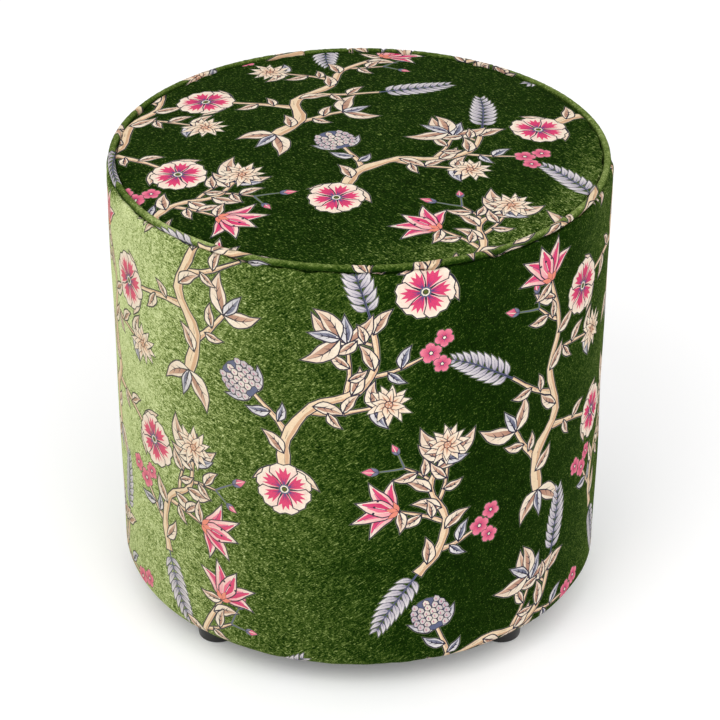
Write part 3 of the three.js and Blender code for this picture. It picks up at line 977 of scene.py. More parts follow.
def velvet_shell(name, cut, surface, grid, map_rows, lean):
    """A closed shell of printed velvet: its pile side, its plain back and the cut edges between them."""
    flat, outer, colours = cut
    outer_count = len(flat)
    edges = rim_of(outer)
    loop = max(rings_of(edges), key=len)
    back_flat, back, sources = triangulated(np.vstack([flat[loop], grid]), [], len(loop), BACK_MERGE_REACH)
    number = np.zeros(len(back_flat), int)
    extra = []
    for i, given in enumerate(sources):
        rims = [k for k in given if k < len(loop)]
        if rims:
            number[i] = outer_count + loop[rims[0]]
        else:
            number[i] = 2 * outer_count + len(extra)
            extra.append(i)
    extra_flat = back_flat[extra].reshape(-1, 2)
    front_places, extra_places = surface(flat), surface(extra_flat)
    front_normals, extra_normals = facing(surface, flat), facing(surface, extra_flat)
    behind = front_places - front_normals * velvet_thickness
    extra_places = extra_places - extra_normals * velvet_thickness
    rim = [((b, a, a + outer_count), (b, a + outer_count, b + outer_count)) for a, b in edges]
    rim = np.array(rim).reshape(-1, 3)
    triangles = np.vstack([outer, rim, number[back][:, ::-1]])
    used, triangles = np.unique(triangles, return_inverse=True)
    triangles = triangles.reshape(-1, 3)
    points = np.vstack([front_places, behind, extra_places])[used]

    made = smooth_object(name, points, triangles.tolist())
    mesh = made.data
    assert not mesh.validate()

    count = len(outer)
    printed = np.zeros((len(triangles), 3, 4))
    printed[:count] = colours
    layer = mesh.color_attributes.new("print", "FLOAT_COLOR", "CORNER")
    layer.data.foreach_set("color", printed.ravel())
    # The lean attribute holds the painted light, sheen and shade of the pile, from the piece's lean function
    painted_light_layer = mesh.attributes.new("lean", "FLOAT", "POINT")
    painted_light_layer.data.foreach_set("value", lean(points))
    bake_map(mesh, np.vstack([flat, flat, extra_flat])[used], triangles, count, map_rows)

    corner_normals = np.vstack([front_normals, -front_normals, -extra_normals])[used][triangles]
    between = slice(count, count + len(rim))
    cut_edge = points[triangles[between]]
    edge_normals = unit(np.cross(cut_edge[:, 1] - cut_edge[:, 0], cut_edge[:, 2] - cut_edge[:, 0]))
    corner_normals[between] = edge_normals[:, None]
    corner_normals[:count] = front_normals[outer]
    mesh.normals_split_custom_set(corner_normals.reshape(-1, 3).tolist())
    return made


def bake_map(mesh, places, triangles, outer_count, rows):
    """The map for baking colours: the seen cloth lies in rows, and the hidden rest in a narrow strip."""
    left, right, low, high, row_count = rows
    length = (right - left) / row_count
    margin = ROW_MARGIN_SHARE * length
    height = high - low + margin
    side = max(length + 2 * margin, height * row_count) / (1 - HIDDEN_STRIP_SHARE)
    flat = places[triangles]
    middle = flat.mean(1)
    row = np.clip(np.floor((middle[:, 0] - left) / length), 0, row_count - 1)
    seen = (np.arange(len(triangles)) < outer_count) & (middle[:, 1] > low) & (middle[:, 1] < high)
    u = (flat[:, :, 0] - left - (row * length)[:, None] + margin) / side
    v = (flat[:, :, 1] - low + (row * height)[:, None] + margin / 2) / side
    lowest, highest = places.min(0), places.max(0)
    whole = (flat - lowest) / (highest - lowest)
    narrow = HIDDEN_STRIP_SHARE * HIDDEN_FILL_SHARE
    behind = (np.arange(len(triangles)) >= outer_count)[:, None]
    across = HIDDEN_HALF_FILL * whole[:, :, 1] + HIDDEN_HALF * behind
    u = np.where(seen[:, None], u, 1 - narrow + narrow * across)
    v = np.where(seen[:, None], v, whole[:, :, 0] * HIDDEN_LENGTH_SHARE + HIDDEN_START)
    layer = mesh.uv_layers.new(name="OFBake")
    layer.data.foreach_set("uv", np.stack([u, v], 2).ravel())


# Painted light on the velvet, kept as the pile's lean: from 0, unlit and dark, to 1, lit and pale.

# The side's painted light by degrees round to the left of the front: the flank lit from the left, and a
# painted sheen along the right edge
SIDE_PAINTED_LIGHT_STOPS = (
    (-140, 0.0), (-78, 0.32), (-57, 0.10), (-38, 0.02), (-24, 0.0), (-3, 0.15), (21, 0.40),
    (33, 0.62), (51, 1.06), (78, 1.36), (172, 0.0),
)
MOST_PAINTED_LIGHT = 1.36

# Painted shade, which takes painted light away towards the hem and close under the piping, where its shadow
# falls: by what share, how fast, and from what degrees over how many more
HEM_SHADE_SHARE = 0.25
HEM_SHADE_POWER = 0.6
HEM_SHADE_ROUND = (5, 15)
PIPING_SHADOW_SHARE = 0.72
PIPING_SHADOW_REACH = 14
PIPING_SHADOW_ROUND = (62, 14)

# The painted sheen along the lower edge, where the hem turns under: how much more light, and over what
# height
HEM_SHEEN_LEVELS = ((0.15, 9), (0.45, 1.6))

# The seat's painted light in its middle, the painted highlight added on its rim, from what share of its
# radius over how much more, and the rim's middle and half reach in degrees, with how many to fade
SEAT_PAINTED_LIGHT = 0.03
SEAT_RIM_HIGHLIGHT = 0.28
SEAT_RIM_SHARES = (0.80, 0.16)
SEAT_RIM_ROUND = (-48, 65, 40)

# The piping's painted light, the painted highlight on its crest, and the painted light on its left and right
# flanks, with the degrees at which each flank begins and ends and over how many it does
PIPING_PAINTED_LIGHT = 0.10
PIPING_CREST_HIGHLIGHT = 0.38
PIPING_LIT_FLANKS = ((0.42, 1, (12, 25), (48, 20)), (0.18, -1, (20, 40), (120, 30)))


def eased(value, begins=0.0, over=1.0):
    """A share that eases from 0, where the value begins, to 1, so far over."""
    share = np.clip((value - begins) / over, 0, 1)
    return share * share * (3 - 2 * share)


def leftward(points):
    """Degrees round the drum from its front: 90 at its left side, -90 at its right."""
    return np.degrees(np.arctan2(-points[:, 0], -points[:, 1]))


# Painted light on the side band: the lit left flank and the right edge's sheen, with painted shade towards
# the hem and under the piping, and a painted sheen on the hem
def band_painted_light(points):
    round_left = leftward(points)
    height = points[:, 2] - hem_low
    below_piping = np.clip(band_top - points[:, 2], 0, None)
    drop = 1 - np.clip(height / (band_top - hem_low), 0, 1) ** HEM_SHADE_POWER
    side_lit = np.interp(round_left, *zip(*SIDE_PAINTED_LIGHT_STOPS))
    side_lit = side_lit * (1 - HEM_SHADE_SHARE * drop * eased(round_left, *HEM_SHADE_ROUND))
    piping_shadow = np.exp(-below_piping / PIPING_SHADOW_REACH) * eased(round_left, *PIPING_SHADOW_ROUND)
    hem_sheen = sum(lean * np.exp(-np.clip(height, 0, None) / reach) for lean, reach in HEM_SHEEN_LEVELS)
    return np.clip(side_lit * (1 - PIPING_SHADOW_SHARE * piping_shadow) + hem_sheen, 0, MOST_PAINTED_LIGHT)


def seat_painted_light(points):
    """Painted highlight: paler along the front and right of the rim, where the cloth turns down."""
    out = np.hypot(points[:, 0], points[:, 1]) / seat_radius
    middle, half, fade = SEAT_RIM_ROUND
    facing_front = eased(half - np.abs(leftward(points) - middle), 0, fade)
    return np.clip(SEAT_PAINTED_LIGHT + SEAT_RIM_HIGHLIGHT * eased(out, *SEAT_RIM_SHARES) * facing_front, 0, 1)


def piping_painted_light(points):
    """Painted light: a painted highlight along the crest, and paler flanks where they face the light."""
    lean = PIPING_PAINTED_LIGHT + PIPING_CREST_HIGHLIGHT * eased(points[:, 2], piping_height, loop_radius)
    for more, side, begins, ends in PIPING_LIT_FLANKS:
        round_drum = leftward(points) * side
        lean = lean + more * eased(round_drum, *begins) * (1 - eased(round_drum, *ends))
    return np.clip(lean, 0, 1)


class Value:
    """A number in a node tree, which sums and products can be written with."""

    def __init__(self, nodes, socket):
        self.nodes = nodes
        self.socket = socket

    def __add__(self, other):
        return self.nodes.math("ADD", self, other)

    def __sub__(self, other):
        return self.nodes.math("SUBTRACT", self, other)

    def __rsub__(self, other):
        return self.nodes.math("SUBTRACT", other, self)

    def __mul__(self, other):
        return self.nodes.math("MULTIPLY", self, other)

    def clamped(self):
        return self.nodes.math("ADD", self, 0.0, clamp=True)


class Nodes:
    """A node tree under way, with short calls that add its nodes."""

    def __init__(self, tree):
        self.tree = tree

    def add(self, kind, inputs=None, **settings):
        made = self.tree.nodes.new(kind)
        for name, value in settings.items():
            setattr(made, name, value)
        self.feed(made, inputs or {})
        return made

    def feed(self, made, inputs):
        """Gives a node's inputs their values, or links each to a socket or to a list of sockets."""
        for key, value in inputs.items():
            for one in value if isinstance(value, list) else [value]:
                one = getattr(one, "socket", one)
                if isinstance(one, bpy.types.NodeSocket):
                    self.tree.links.new(one, made.inputs[key])
                else:
                    made.inputs[key].default_value = one

    def math(self, operation, a, b=0.0, clamp=False):
        made = self.add("ShaderNodeMath", {0: a, 1: b}, operation=operation, use_clamp=clamp)
        return Value(self, made.outputs[0])

    def background_rays(self):
        """1 on the rays that show the background: from the camera, in a reflection or through glass."""
        rays = self.add("ShaderNodeLightPath").outputs
        shown = self.math("MAXIMUM", rays["Is Camera Ray"], rays["Is Glossy Ray"])
        return self.math("MAXIMUM", shown, rays["Is Transmission Ray"])


class Finish(Nodes):
    """A material under way."""

    def __init__(self, name):
        self.material = bpy.data.materials.new(name)
        self.material.use_nodes = True
        super().__init__(self.material.node_tree)
        self.shader = self.tree.nodes["Principled BSDF"]
        self.place = self.add("ShaderNodeTexCoord").outputs["Object"]

    def attribute(self, name, output):
        return Value(self, self.add("ShaderNodeAttribute", attribute_name=name).outputs[output])

    def noise(self, scale, detail=2.0, roughness=0.5, distortion=0.0, place=None):
        inputs = {"Vector": place or self.place, "Scale": scale, "Detail": detail,
                  "Roughness": roughness, "Distortion": distortion}
        return Value(self, self.add("ShaderNodeTexNoise", inputs).outputs["Fac"])

    def swing(self, scale, reach, detail, roughness, distortion):
        """Noise about zero, half this reach to each side."""
        return (self.noise(scale, detail, roughness, distortion) - 0.5) * reach

    def risen(self, value, level, sharpness):
        """How far a value is past a level, up to 1."""
        return ((value - level) * sharpness).clamped()

    def cells(self, scale, randomness=1.0):
        inputs = {"Vector": self.place, "Scale": scale, "Randomness": randomness}
        return Value(self, self.add("ShaderNodeTexVoronoi", inputs).outputs["Distance"])

    def drawn_out(self, turn, stretch):
        """Object places squeezed along a turned axis, so that a noise read there is drawn out along it."""
        inputs = {"Vector": self.place, "Rotation": turn, "Scale": (stretch, 1, 1)}
        return self.add("ShaderNodeMapping", inputs, vector_type="TEXTURE").outputs["Vector"]

    def scaled(self, scale):
        """Object places scaled along each axis, for a grain."""
        return self.add("ShaderNodeMapping", {"Vector": self.place, "Scale": scale}).outputs["Vector"]

    def ramp(self, share, stops):
        """A colour that runs through the stops, written as it looks."""
        stops = list(stops)
        made = self.add("ShaderNodeValToRGB", {"Fac": share})
        elements = made.color_ramp.elements
        while len(elements) < len(stops):
            elements.new(1.0)
        for element, (place, colour) in zip(elements, stops):
            element.position = place
            element.color = (*linear(colour), 1)
        return made.outputs["Color"]

    def mixed(self, share, a, b, blend="MIX"):
        inputs = {0: share, 6: a, 7: b}
        return self.add("ShaderNodeMix", inputs, data_type="RGBA", blend_type=blend).outputs[2]

    def bump(self, height, distance, strength):
        made = self.add("ShaderNodeBump", {"Height": height, "Distance": distance, "Strength": strength})
        self.feed(self.shader, {"Normal": made.outputs["Normal"]})

    def finish(self, **inputs):
        self.feed(self.shader, {key.replace("_", " "): value for key, value in inputs.items()})
        return self.material


# Greens of the velvet, from the darkest pile to the palest; the pale ones show painted light
VELVET_STOPS = (
    (0.00, (0.035, 0.095, 0.008)), (0.15, (0.074, 0.168, 0.018)), (0.32, (0.225, 0.305, 0.100)),
    (0.50, (0.385, 0.450, 0.220)), (0.72, (0.590, 0.645, 0.395)), (1.00, (0.800, 0.835, 0.610)),
)
# The pale green that the print is mixed with under the painted light
PRINT_PAINTED_LIGHT = (0.74, 0.72, 0.52)
VELVET_SHEEN_TINT = (0.35, 0.60, 0.12, 1.0)

# The pile's unevenness: each noise's scale, reach, detail, roughness and distortion
PILE = (700, 0.85, 2.0, 0.6, 1.2)
CLUMPS = (120, 0.34, 2.0, 0.6, 0.8)
PATCHES = (20, 0.52, 3.0, 0.72, 0.3)
CLOUDS = (58, 0.13, 2.0, 0.6, 0.8)

# Its curls, the breaks in them and its single threads: each noise's scale, detail, roughness and distortion
CURLS = (430, 0.6, 0.5, 1.6)
CURL_BREAKS = (200, 1.0, 0.6)
THREADS = (1000, 0.6, 0.5, 0.4)

# The two ways in which the threads lie, and how far they are drawn out
THREAD_TURNS = ((0, math.radians(-35), 0), (0, math.radians(12), math.radians(-40)))
THREAD_STRETCH = 5.6

# What the noises add to the pile's shade: the level at which each begins, how sharply, and its reach
CURL_SHARPNESS = 9.0
CURL_BREAK_LEVEL, CURL_BREAK_SHARPNESS = 0.46, 8.0
SPECK_LEVEL, SPECK_SHARPNESS = 0.64, 6.5
THREAD_LEVEL, THREAD_REACH = 0.56, 1.7
CURL_REACH = 0.40
FLECK_FALL = 0.09

# How much of the flecks shows on dark pile, what a swell at half the painted light adds, and what the
# painted light itself adds
DARK_FLECKS, HALF_LIT_FLECKS, PALE_FLECKS = 0.20, 0.42, 0.66

# How much of the pale specks shows on dark pile, and how much of that the painted light takes away. The
# specks are the pile's loose threads, partly painted glints
DARK_SPECKS, SPECKS_LOST = 0.27, 0.14

# The ground's shade where no light is painted, and what the painted light adds
UNLIT_PILE_SHADE, PAINTED_LIGHT_RISE = 0.083, 0.70

# How much the print pales under the painted light, its shade, and how far the pile varies that
PRINT_PAINTED_LIGHT_SHARE = 0.14
PRINT_SHADE, PRINT_SHADE_REACH = 0.84, 0.50

# The pile's bumps: how much the curls count in them, and their distance in metres and strength
CURL_BUMP_SHARE = 0.5
PILE_BUMP = (0.0006, 0.65)

# How strongly the flecks show in each piece's velvet
BAND_FLECK_SHARE = 1.0
SEAT_FLECK_SHARE = 1.3
PIPING_FLECK_SHARE = 0.55

# Colours of the plain materials, each at its share of the material's noise
PLASTIC_STOPS = ((0.3, (0.055, 0.055, 0.058)), (0.8, (0.085, 0.085, 0.088)))
DUST_CLOTH_STOPS = ((0.3, (0.060, 0.060, 0.062)), (0.7, (0.115, 0.115, 0.118)))
FOAM_STOPS = ((0.0, (0.74, 0.68, 0.48)), (0.5, (0.91, 0.87, 0.69)))
WADDING_STOPS = ((0.3, (0.88, 0.88, 0.86)), (0.7, (0.97, 0.97, 0.95)))
ZINC_STOPS = ((0.3, (0.66, 0.68, 0.71)), (0.7, (0.80, 0.81, 0.83)))
THREAD_STOPS = ((0.3, (0.10, 0.20, 0.07)), (0.7, (0.18, 0.31, 0.12)))
CORD_STOPS = ((0.3, (0.78, 0.73, 0.62)), (0.7, (0.93, 0.90, 0.82)))
WOOD_STOP_SHARES = (0.35, 0.65)

# Each wood: the scale of its grain along each axis, its dark and its light colour, and the nodes made of it
WOODS = {
    "plywood": ((14, 60, 400), (0.72, 0.56, 0.38), (0.86, 0.72, 0.52), ("base_board", "top_board")),
    "pine": ((90, 90, 5), (0.80, 0.62, 0.38), (0.92, 0.79, 0.56), [f"post_{i}" for i in range(1, 7)]),
    "hardboard": ((260, 260, 260), (0.36, 0.23, 0.13), (0.50, 0.34, 0.21), ("wall_panel",)),
}


def velvet_finish(name, fleck_share):
    """Crushed pile: it lies in curls and patches, and where the lean attribute paints light on it, it turns
    pale.
    """
    f = Finish(name)
    # lean: painted light, sheen and shade, which raise the ground to pale green and pale the print
    lean = f.attribute("lean", "Fac")
    printed = f.attribute("print", "Color")
    print_mask = f.attribute("print", "Alpha")
    pile = f.swing(*PILE)
    clumps = f.swing(*CLUMPS)
    off_curl = f.math("ABSOLUTE", f.noise(*CURLS) - 0.5)
    curl_lines = (1.0 - off_curl * CURL_SHARPNESS).clamped()
    curl_lines = curl_lines * f.risen(f.noise(*CURL_BREAKS), CURL_BREAK_LEVEL, CURL_BREAK_SHARPNESS)
    threads = [f.noise(*THREADS, place=f.drawn_out(turn, THREAD_STRETCH)) for turn in THREAD_TURNS]
    threads = f.math("MAXIMUM", *threads)
    specks_and_glints = f.risen(threads, SPECK_LEVEL, SPECK_SHARPNESS) * fleck_share
    flecks = pile + (threads - THREAD_LEVEL) * THREAD_REACH + clumps + f.swing(*PATCHES)
    flecks = flecks + curl_lines * CURL_REACH - FLECK_FALL
    shown = lean * (1.0 - lean) * HALF_LIT_FLECKS + lean * PALE_FLECKS + DARK_FLECKS
    value = flecks * (shown * fleck_share) + lean * PAINTED_LIGHT_RISE + f.swing(*CLOUDS) + UNLIT_PILE_SHADE
    value = value + specks_and_glints * (DARK_SPECKS - lean * SPECKS_LOST)
    ground = f.ramp(value, VELVET_STOPS)
    print_under_light = f.mixed(lean * PRINT_PAINTED_LIGHT_SHARE, printed, (*linear(PRINT_PAINTED_LIGHT), 1))
    shade = pile * PRINT_SHADE_REACH + PRINT_SHADE
    shade = f.add("ShaderNodeCombineColor", {"Red": shade, "Green": shade, "Blue": shade}).outputs[0]
    f.bump(pile + clumps + curl_lines * CURL_BUMP_SHARE, *PILE_BUMP)
    return f.finish(
        Base_Color=f.mixed(print_mask, ground, f.mixed(1.0, print_under_light, shade, "MULTIPLY")), Roughness=1.0,
        Specular_IOR_Level=0.01, Sheen_Weight=0.03, Sheen_Roughness=0.5, Sheen_Tint=VELVET_SHEEN_TINT,
    )


def plastic_finish():
    f = Finish("black_plastic")
    worn = f.noise(60, detail=3.0, roughness=0.6)
    f.bump(f.noise(900, roughness=0.6), distance=0.00008, strength=0.3)
    return f.finish(Base_Color=f.ramp(worn, PLASTIC_STOPS), Roughness=worn * 0.18 + 0.30)


def dust_cloth_finish():
    f = Finish("black_non_woven")
    fibres = f.noise(700, detail=3.0, roughness=0.7, distortion=1.5)
    f.bump(f.cells(620.0, randomness=0.35) + fibres * 0.6, distance=0.0002, strength=0.5)
    colour = f.ramp(fibres, DUST_CLOTH_STOPS)
    return f.finish(Base_Color=colour, Roughness=0.9, Specular_IOR_Level=0.25)


def foam_finish():
    f = Finish("open_cell_foam")
    cells = f.cells(500.0)
    f.bump(cells, distance=0.0006, strength=0.6)
    return f.finish(Base_Color=f.ramp(cells, FOAM_STOPS), Roughness=1.0)


def wadding_finish():
    f = Finish("polyester_wadding")
    tufts = f.noise(240, detail=4.0, roughness=0.65, distortion=2.0)
    f.bump(tufts, distance=0.001, strength=0.5)
    return f.finish(Base_Color=f.ramp(tufts, WADDING_STOPS), Roughness=1.0, Sheen_Weight=0.3)


def wood_finish(name, grain_scale, dark, light):
    f = Finish(name)
    grain = f.noise(1.0, detail=3.0, roughness=0.6, distortion=1.4, place=f.scaled(grain_scale))
    fine = f.noise(4.0, roughness=0.6, place=f.scaled(grain_scale))
    f.bump(fine, distance=0.0003, strength=0.4)
    colour = f.ramp(grain, zip(WOOD_STOP_SHARES, (dark, light)))
    return f.finish(Base_Color=colour, Roughness=0.7)


def zinc_finish():
    f = Finish("zinc_plated_steel")
    spangle = f.noise(500)
    colour = f.ramp(spangle, ZINC_STOPS)
    return f.finish(Base_Color=colour, Roughness=spangle * 0.2 + 0.25, Metallic=1.0)


def thread_finish():
    f = Finish("green_thread")
    twist = f.noise(1.0, distortion=0.5, place=f.scaled((900, 900, 900)))
    return f.finish(Base_Color=f.ramp(twist, THREAD_STOPS), Roughness=0.6, Sheen_Weight=0.2)


def cord_finish():
    f = Finish("cotton_cord")
    strands = f.noise(450, detail=3.0, roughness=0.6, distortion=1.0)
    f.bump(strands, distance=0.0004, strength=0.6)
    return f.finish(Base_Color=f.ramp(strands, CORD_STOPS), Roughness=0.95)


# The cover's three forms. A surface takes flat places, x along the cloth and y up it, to places in space.

# How near two points of a profile are one, and how far each way its direction is read
PROFILE_MERGE_REACH = 1e-6
DIRECTION_REACH = 0.3

ARC_STEPS = 24


class Profile:
    """A line of radius and height, read by the length along it from its start point."""

    def __init__(self, points, start_point):
        points = np.array(points, float)
        steps = np.linalg.norm(np.diff(points, axis=0), axis=1)
        apart = steps > PROFILE_MERGE_REACH
        self.points = points[np.concatenate([[True], apart])]
        self.length = np.concatenate([[0], np.cumsum(steps[apart])])
        self.length -= self.length[np.argmin(np.linalg.norm(self.points - start_point, axis=1))]

    def read(self, length):
        return [np.interp(length, self.length, self.points[:, k]) for k in (0, 1)]

    def form(self, angle, length, stand):
        """Places at an angle round the drum and a length along the line, standing out from it."""
        radius, height = self.read(length)
        after, before = self.read(length + DIRECTION_REACH), self.read(length - DIRECTION_REACH)
        outward, upward = after[0] - before[0], after[1] - before[1]
        size = np.hypot(outward, upward) + 1e-12
        radius = radius - upward / size * stand
        height = height + outward / size * stand
        return np.stack([radius * np.cos(angle), radius * np.sin(angle), height], 1)


def arc(middle, reach, from_degrees, to_degrees, steps=ARC_STEPS):
    """Points on a part of an ellipse, whose reach may differ across and up."""
    reach_r, reach_z = reach if isinstance(reach, tuple) else (reach, reach)
    angles = np.radians(np.linspace(from_degrees, to_degrees, steps + 1))
    return [(middle[0] + reach_r * math.cos(a), middle[1] + reach_z * math.sin(a)) for a in angles]


class Ripples:
    """A smooth unevenness that closes on itself round the drum, as a sum of waves."""

    def __init__(self, seed, count, fewest, most, steepest=0.0):
        chance = random.Random(seed)
        self.waves = [
            (chance.randint(fewest, most), chance.uniform(-steepest, steepest), chance.uniform(0, TURN))
            for _ in range(count)
        ]

    def at(self, angle, along_profile=0.0):
        parts = [np.cos(k * angle + slope * along_profile + phase) for k, slope, phase in self.waves]
        return sum(parts) / math.sqrt(len(parts) / 2)


# Letting the cloth settle. A coarse net of each panel is pushed out by its padding and held where it is
# sewn or stapled, and how far it moved is kept as relief.
settle_frames = 20
settle_quality = 8
settle_pressure = 4.0
settle_stiffness = 260.0
settle_shear_stiffness = 65.0
settle_bending = 0.4
settle_mass = 0.012
settle_cap = 1.1
draw_depth = 1.3
draw_level = 0.5
NET_COLUMNS = 180
BAND_NET_ROWS = 38
BAND_NET_START = 2
SEAT_NET_ROWS = 26
SEAT_NET_START = 20


class Relief:
    """Relief of settled cloth, in mm, at even rows down the cloth and even columns round it."""

    def __init__(self, rows, heights):
        self.rows = rows
        self.heights = heights

    def at(self, angle, down):
        row_count, columns = self.heights.shape
        row = np.clip((down - self.rows[0]) / (self.rows[-1] - self.rows[0]), 0, 1) * (row_count - 1)
        column = (np.asarray(angle) / TURN % 1) * columns
        i = np.minimum(row.astype(int), row_count - 2)
        k = column.astype(int) % columns
        down_share, round_share = row - i, column - np.floor(column)
        after = (k + 1) % columns
        above = self.heights[i, k] * (1 - round_share) + self.heights[i, after] * round_share
        below = self.heights[i + 1, k] * (1 - round_share) + self.heights[i + 1, after] * round_share
        return above * (1 - down_share) + below * down_share


def ring_quads(rows, columns):
    """The faces of a net of rows that close on themselves."""
    return [
        (a + k, b + k, b + (k + 1) % columns, a + (k + 1) % columns)
        for a, b in zip(range(0, rows * columns, columns), range(columns, rows * columns, columns))
        for k in range(columns)
    ]


def settled(name, rows, form, draws, held):
    """Runs the cloth and gives its relief.

    form(angle, down, stand) gives places, held are the sewn rows, and draws pulls those rows in.
    """
    angles = np.arange(NET_COLUMNS) * TURN / NET_COLUMNS
    angle, down = (a.ravel() for a in np.meshgrid(angles, rows))
    level = np.repeat(np.arange(len(rows)), NET_COLUMNS)
    pinned = np.isin(level, held)
    stand = np.where(pinned, -draw_depth * (draw_level + draws.at(angle)), 0.0)
    start, base, proud = (form(angle, down, s) for s in (stand, 0 * stand, 0 * stand + 1))
    net = smooth_object(name, start, ring_quads(len(rows), NET_COLUMNS))
    group = net.vertex_groups.new(name="sewn")
    group.add(np.nonzero(pinned)[0].tolist(), 1.0, "REPLACE")
    cloth = net.modifiers.new("cloth", "CLOTH")
    settings = cloth.settings
    settings.quality = settle_quality
    settings.mass = settle_mass
    settings.tension_stiffness = settings.compression_stiffness = settle_stiffness
    settings.shear_stiffness = settle_shear_stiffness
    settings.bending_stiffness = settle_bending
    settings.use_pressure = True
    settings.uniform_pressure_force = settle_pressure
    settings.vertex_group_mass = group.name
    settings.effector_weights.gravity = 0
    cloth.collision_settings.use_collision = False
    cloth.point_cache.frame_end = settle_frames
    for frame_number in range(1, settle_frames + 1):
        bpy.context.scene.frame_set(frame_number)
    evaluated = net.evaluated_get(bpy.context.evaluated_depsgraph_get())
    after = np.empty(len(start) * 3)
    evaluated.data.vertices.foreach_get("co", after)
    moved = ((after.reshape(-1, 3) / MM - base) * (proud - base)).sum(1).reshape(len(rows), NET_COLUMNS)
    bpy.context.scene.frame_set(1)
    bpy.data.objects.remove(net)
    return Relief(rows, np.clip(moved - moved.mean(axis=1, keepdims=True), -settle_cap, settle_cap))


def spaced(first, last, step):
    """Even places from first to last, no further apart than a step."""
    return np.linspace(first, last, max(1, math.ceil(abs(last - first) / step)) + 1)


class Strip:
    """A strip of cloth bent into a ring, whose two ends turn in on a small roll where they meet."""

    def __init__(self, profile, radius, start_angle, relief, turn_in, roll, half_gap):
        self.profile = profile
        self.radius = radius
        self.start_angle = start_angle
        self.relief = relief
        self.turn_in = turn_in
        self.roll = roll
        self.half_gap = half_gap
        self.length = TURN * radius - 2 * (roll + half_gap)
        self.left, self.right = -turn_in, self.length + turn_in
        self.low, self.high = -profile.length[-1], -profile.length[0]

    def outline(self, step, end_step):
        bottom = [(x, self.low) for x in spaced(self.left, self.right, step)]
        rising = [(self.right, y) for y in spaced(self.low, self.high, end_step)[1:-1]]
        top = [(x, self.high) for x in spaced(self.right, self.left, step)]
        falling = [(self.left, y) for y in spaced(self.high, self.low, end_step)[1:-1]]
        return bottom + rising + top + falling

    def grid(self, levels):
        """Places inside the strip, on levels that each have their own heights and step."""
        return [
            (x, y) for heights, step in levels for y in heights
            for x in spaced(self.left, self.right, step)[1:-1]
        ]

    def surface(self, flat):
        x, down = flat[:, 0], -flat[:, 1]
        over = np.maximum(0, x - self.length) - np.maximum(0, -x)
        angle = self.start_angle + (self.roll + self.half_gap + np.clip(x, 0, self.length)) / self.radius
        past = np.minimum(np.abs(over), self.turn_in)
        bent = np.minimum(past, QUARTER * self.roll)
        aside = np.sign(over) * self.roll * np.sin(bent / self.roll)
        sunk = self.roll * (1 - np.cos(bent / self.roll)) + past - bent
        places = self.profile.form(angle, down, self.relief(angle, down) - sunk)
        return places + np.stack([-aside * np.sin(angle), aside * np.cos(angle), 0 * angle], 1)


# Side band

band_fold_inner = drum_radius - shoulder_reach - 2 * fold_radius
band_profile = Profile(
    [(band_fold_inner, allowance_low)]
    + arc((band_fold_inner + fold_radius, band_top - fold_radius), fold_radius, 180, 90)
    + arc((drum_radius - shoulder_reach, shoulder_low), (shoulder_reach, shoulder_height), 90, 0)
    + arc((hem_bend_middle, hem_low + hem_bend_radius), hem_bend_radius, 0, -90)
    + [(hem_bend_middle - hem_turn_under, hem_low)],
    (band_fold_inner + fold_radius, band_top),
)
hem_start = band_profile.length[-1] - hem_turn_under

seam_puckers = Ripples(seed=11, count=9, fewest=55, most=95)
hem_gathers = Ripples(seed=12, count=9, fewest=60, most=110)
slack = Ripples(seed=13, count=14, fewest=2, most=16, steepest=0.05)
band_draws = Ripples(seed=14, count=12, fewest=18, most=52)
band_net_rows = np.linspace(BAND_NET_START, hem_start, BAND_NET_ROWS)
band_settled = settled("band_net", band_net_rows, band_profile.form, band_draws, [0, BAND_NET_ROWS - 1])


def band_relief(angle, down):
    """How far the velvet stands out from the drum's true form."""
    near_seam = np.exp(-np.abs(down - pucker_drop) / pucker_reach)
    pucker = PUCKER_DEPTH * seam_puckers.at(angle) * near_seam
    near_hem = np.clip((down - hem_start + gather_start) / gather_reach, 0, 1)
    gather = -GATHER_DEPTH * (1 + hem_gathers.at(angle)) * near_hem
    free = np.clip(down / slack_margin, 0, 1) * np.clip((hem_start - down) / slack_margin, 0, 1)
    return pucker + gather + SLACK_DEPTH * slack.at(angle, down) * free + band_settled.at(angle, down)


band_strip = Strip(
    band_profile, drum_radius, back_angle, band_relief,
    turn_in=seam_turn_in, roll=seam_roll_radius, half_gap=seam_half_gap,
)

# The band's mesh in zones of its height, from the top down. Each has its first and last height, the step
# between its rows and the step along them. The hem's bend has some room above and below it.
bend_top = -hem_start + hem_bend_radius * 1.6
bend_low = -hem_start - 12
band_zones = (
    (band_strip.high, 0, 3, flat_step),
    (-1, -14, 1.4, 4),
    (-16, -28, 3, 5),
    (-34, bend_top + 2, flat_step, flat_step),
    (bend_top, bend_low, 1.8, 4.5),
    (bend_low - 6, band_strip.low, flat_step, flat_step),
)

# Its columns beside each end, the step of its back, what heights of it the bake map shows, and in how many
# rows the map lays it
band_end_columns = (-1.6, -0.8, 0, 0.8, 1.6)
band_back_step = 18
band_shown = (-hem_start - 16, 3)
band_map_rows = 2


def side_band(cloth):
    """The band. Its mesh is close where the cloth bends and where its two ends meet."""
    levels = [
        ([y for y in spaced(first, last, row_step) if band_strip.low < y < band_strip.high], step)
        for first, last, row_step, step in band_zones
    ]
    grid = band_strip.grid(levels)
    grid += [(end + aside, y) for y in spaced(band_strip.low, band_strip.high, flat_step)[1:-1]
             for end in (0, band_strip.length) for aside in band_end_columns]
    cut = cut_cloth(cloth, band_strip.outline(flat_step, flat_step), grid, *BAND_CUT)
    back_grid = band_strip.grid([(heights[::2], band_back_step) for heights, _ in levels])
    map_rows = (band_strip.left, band_strip.right, *band_shown, band_map_rows)
    return velvet_shell("velvet_band", cut, band_strip.surface, back_grid, map_rows, band_painted_light)


# Seat

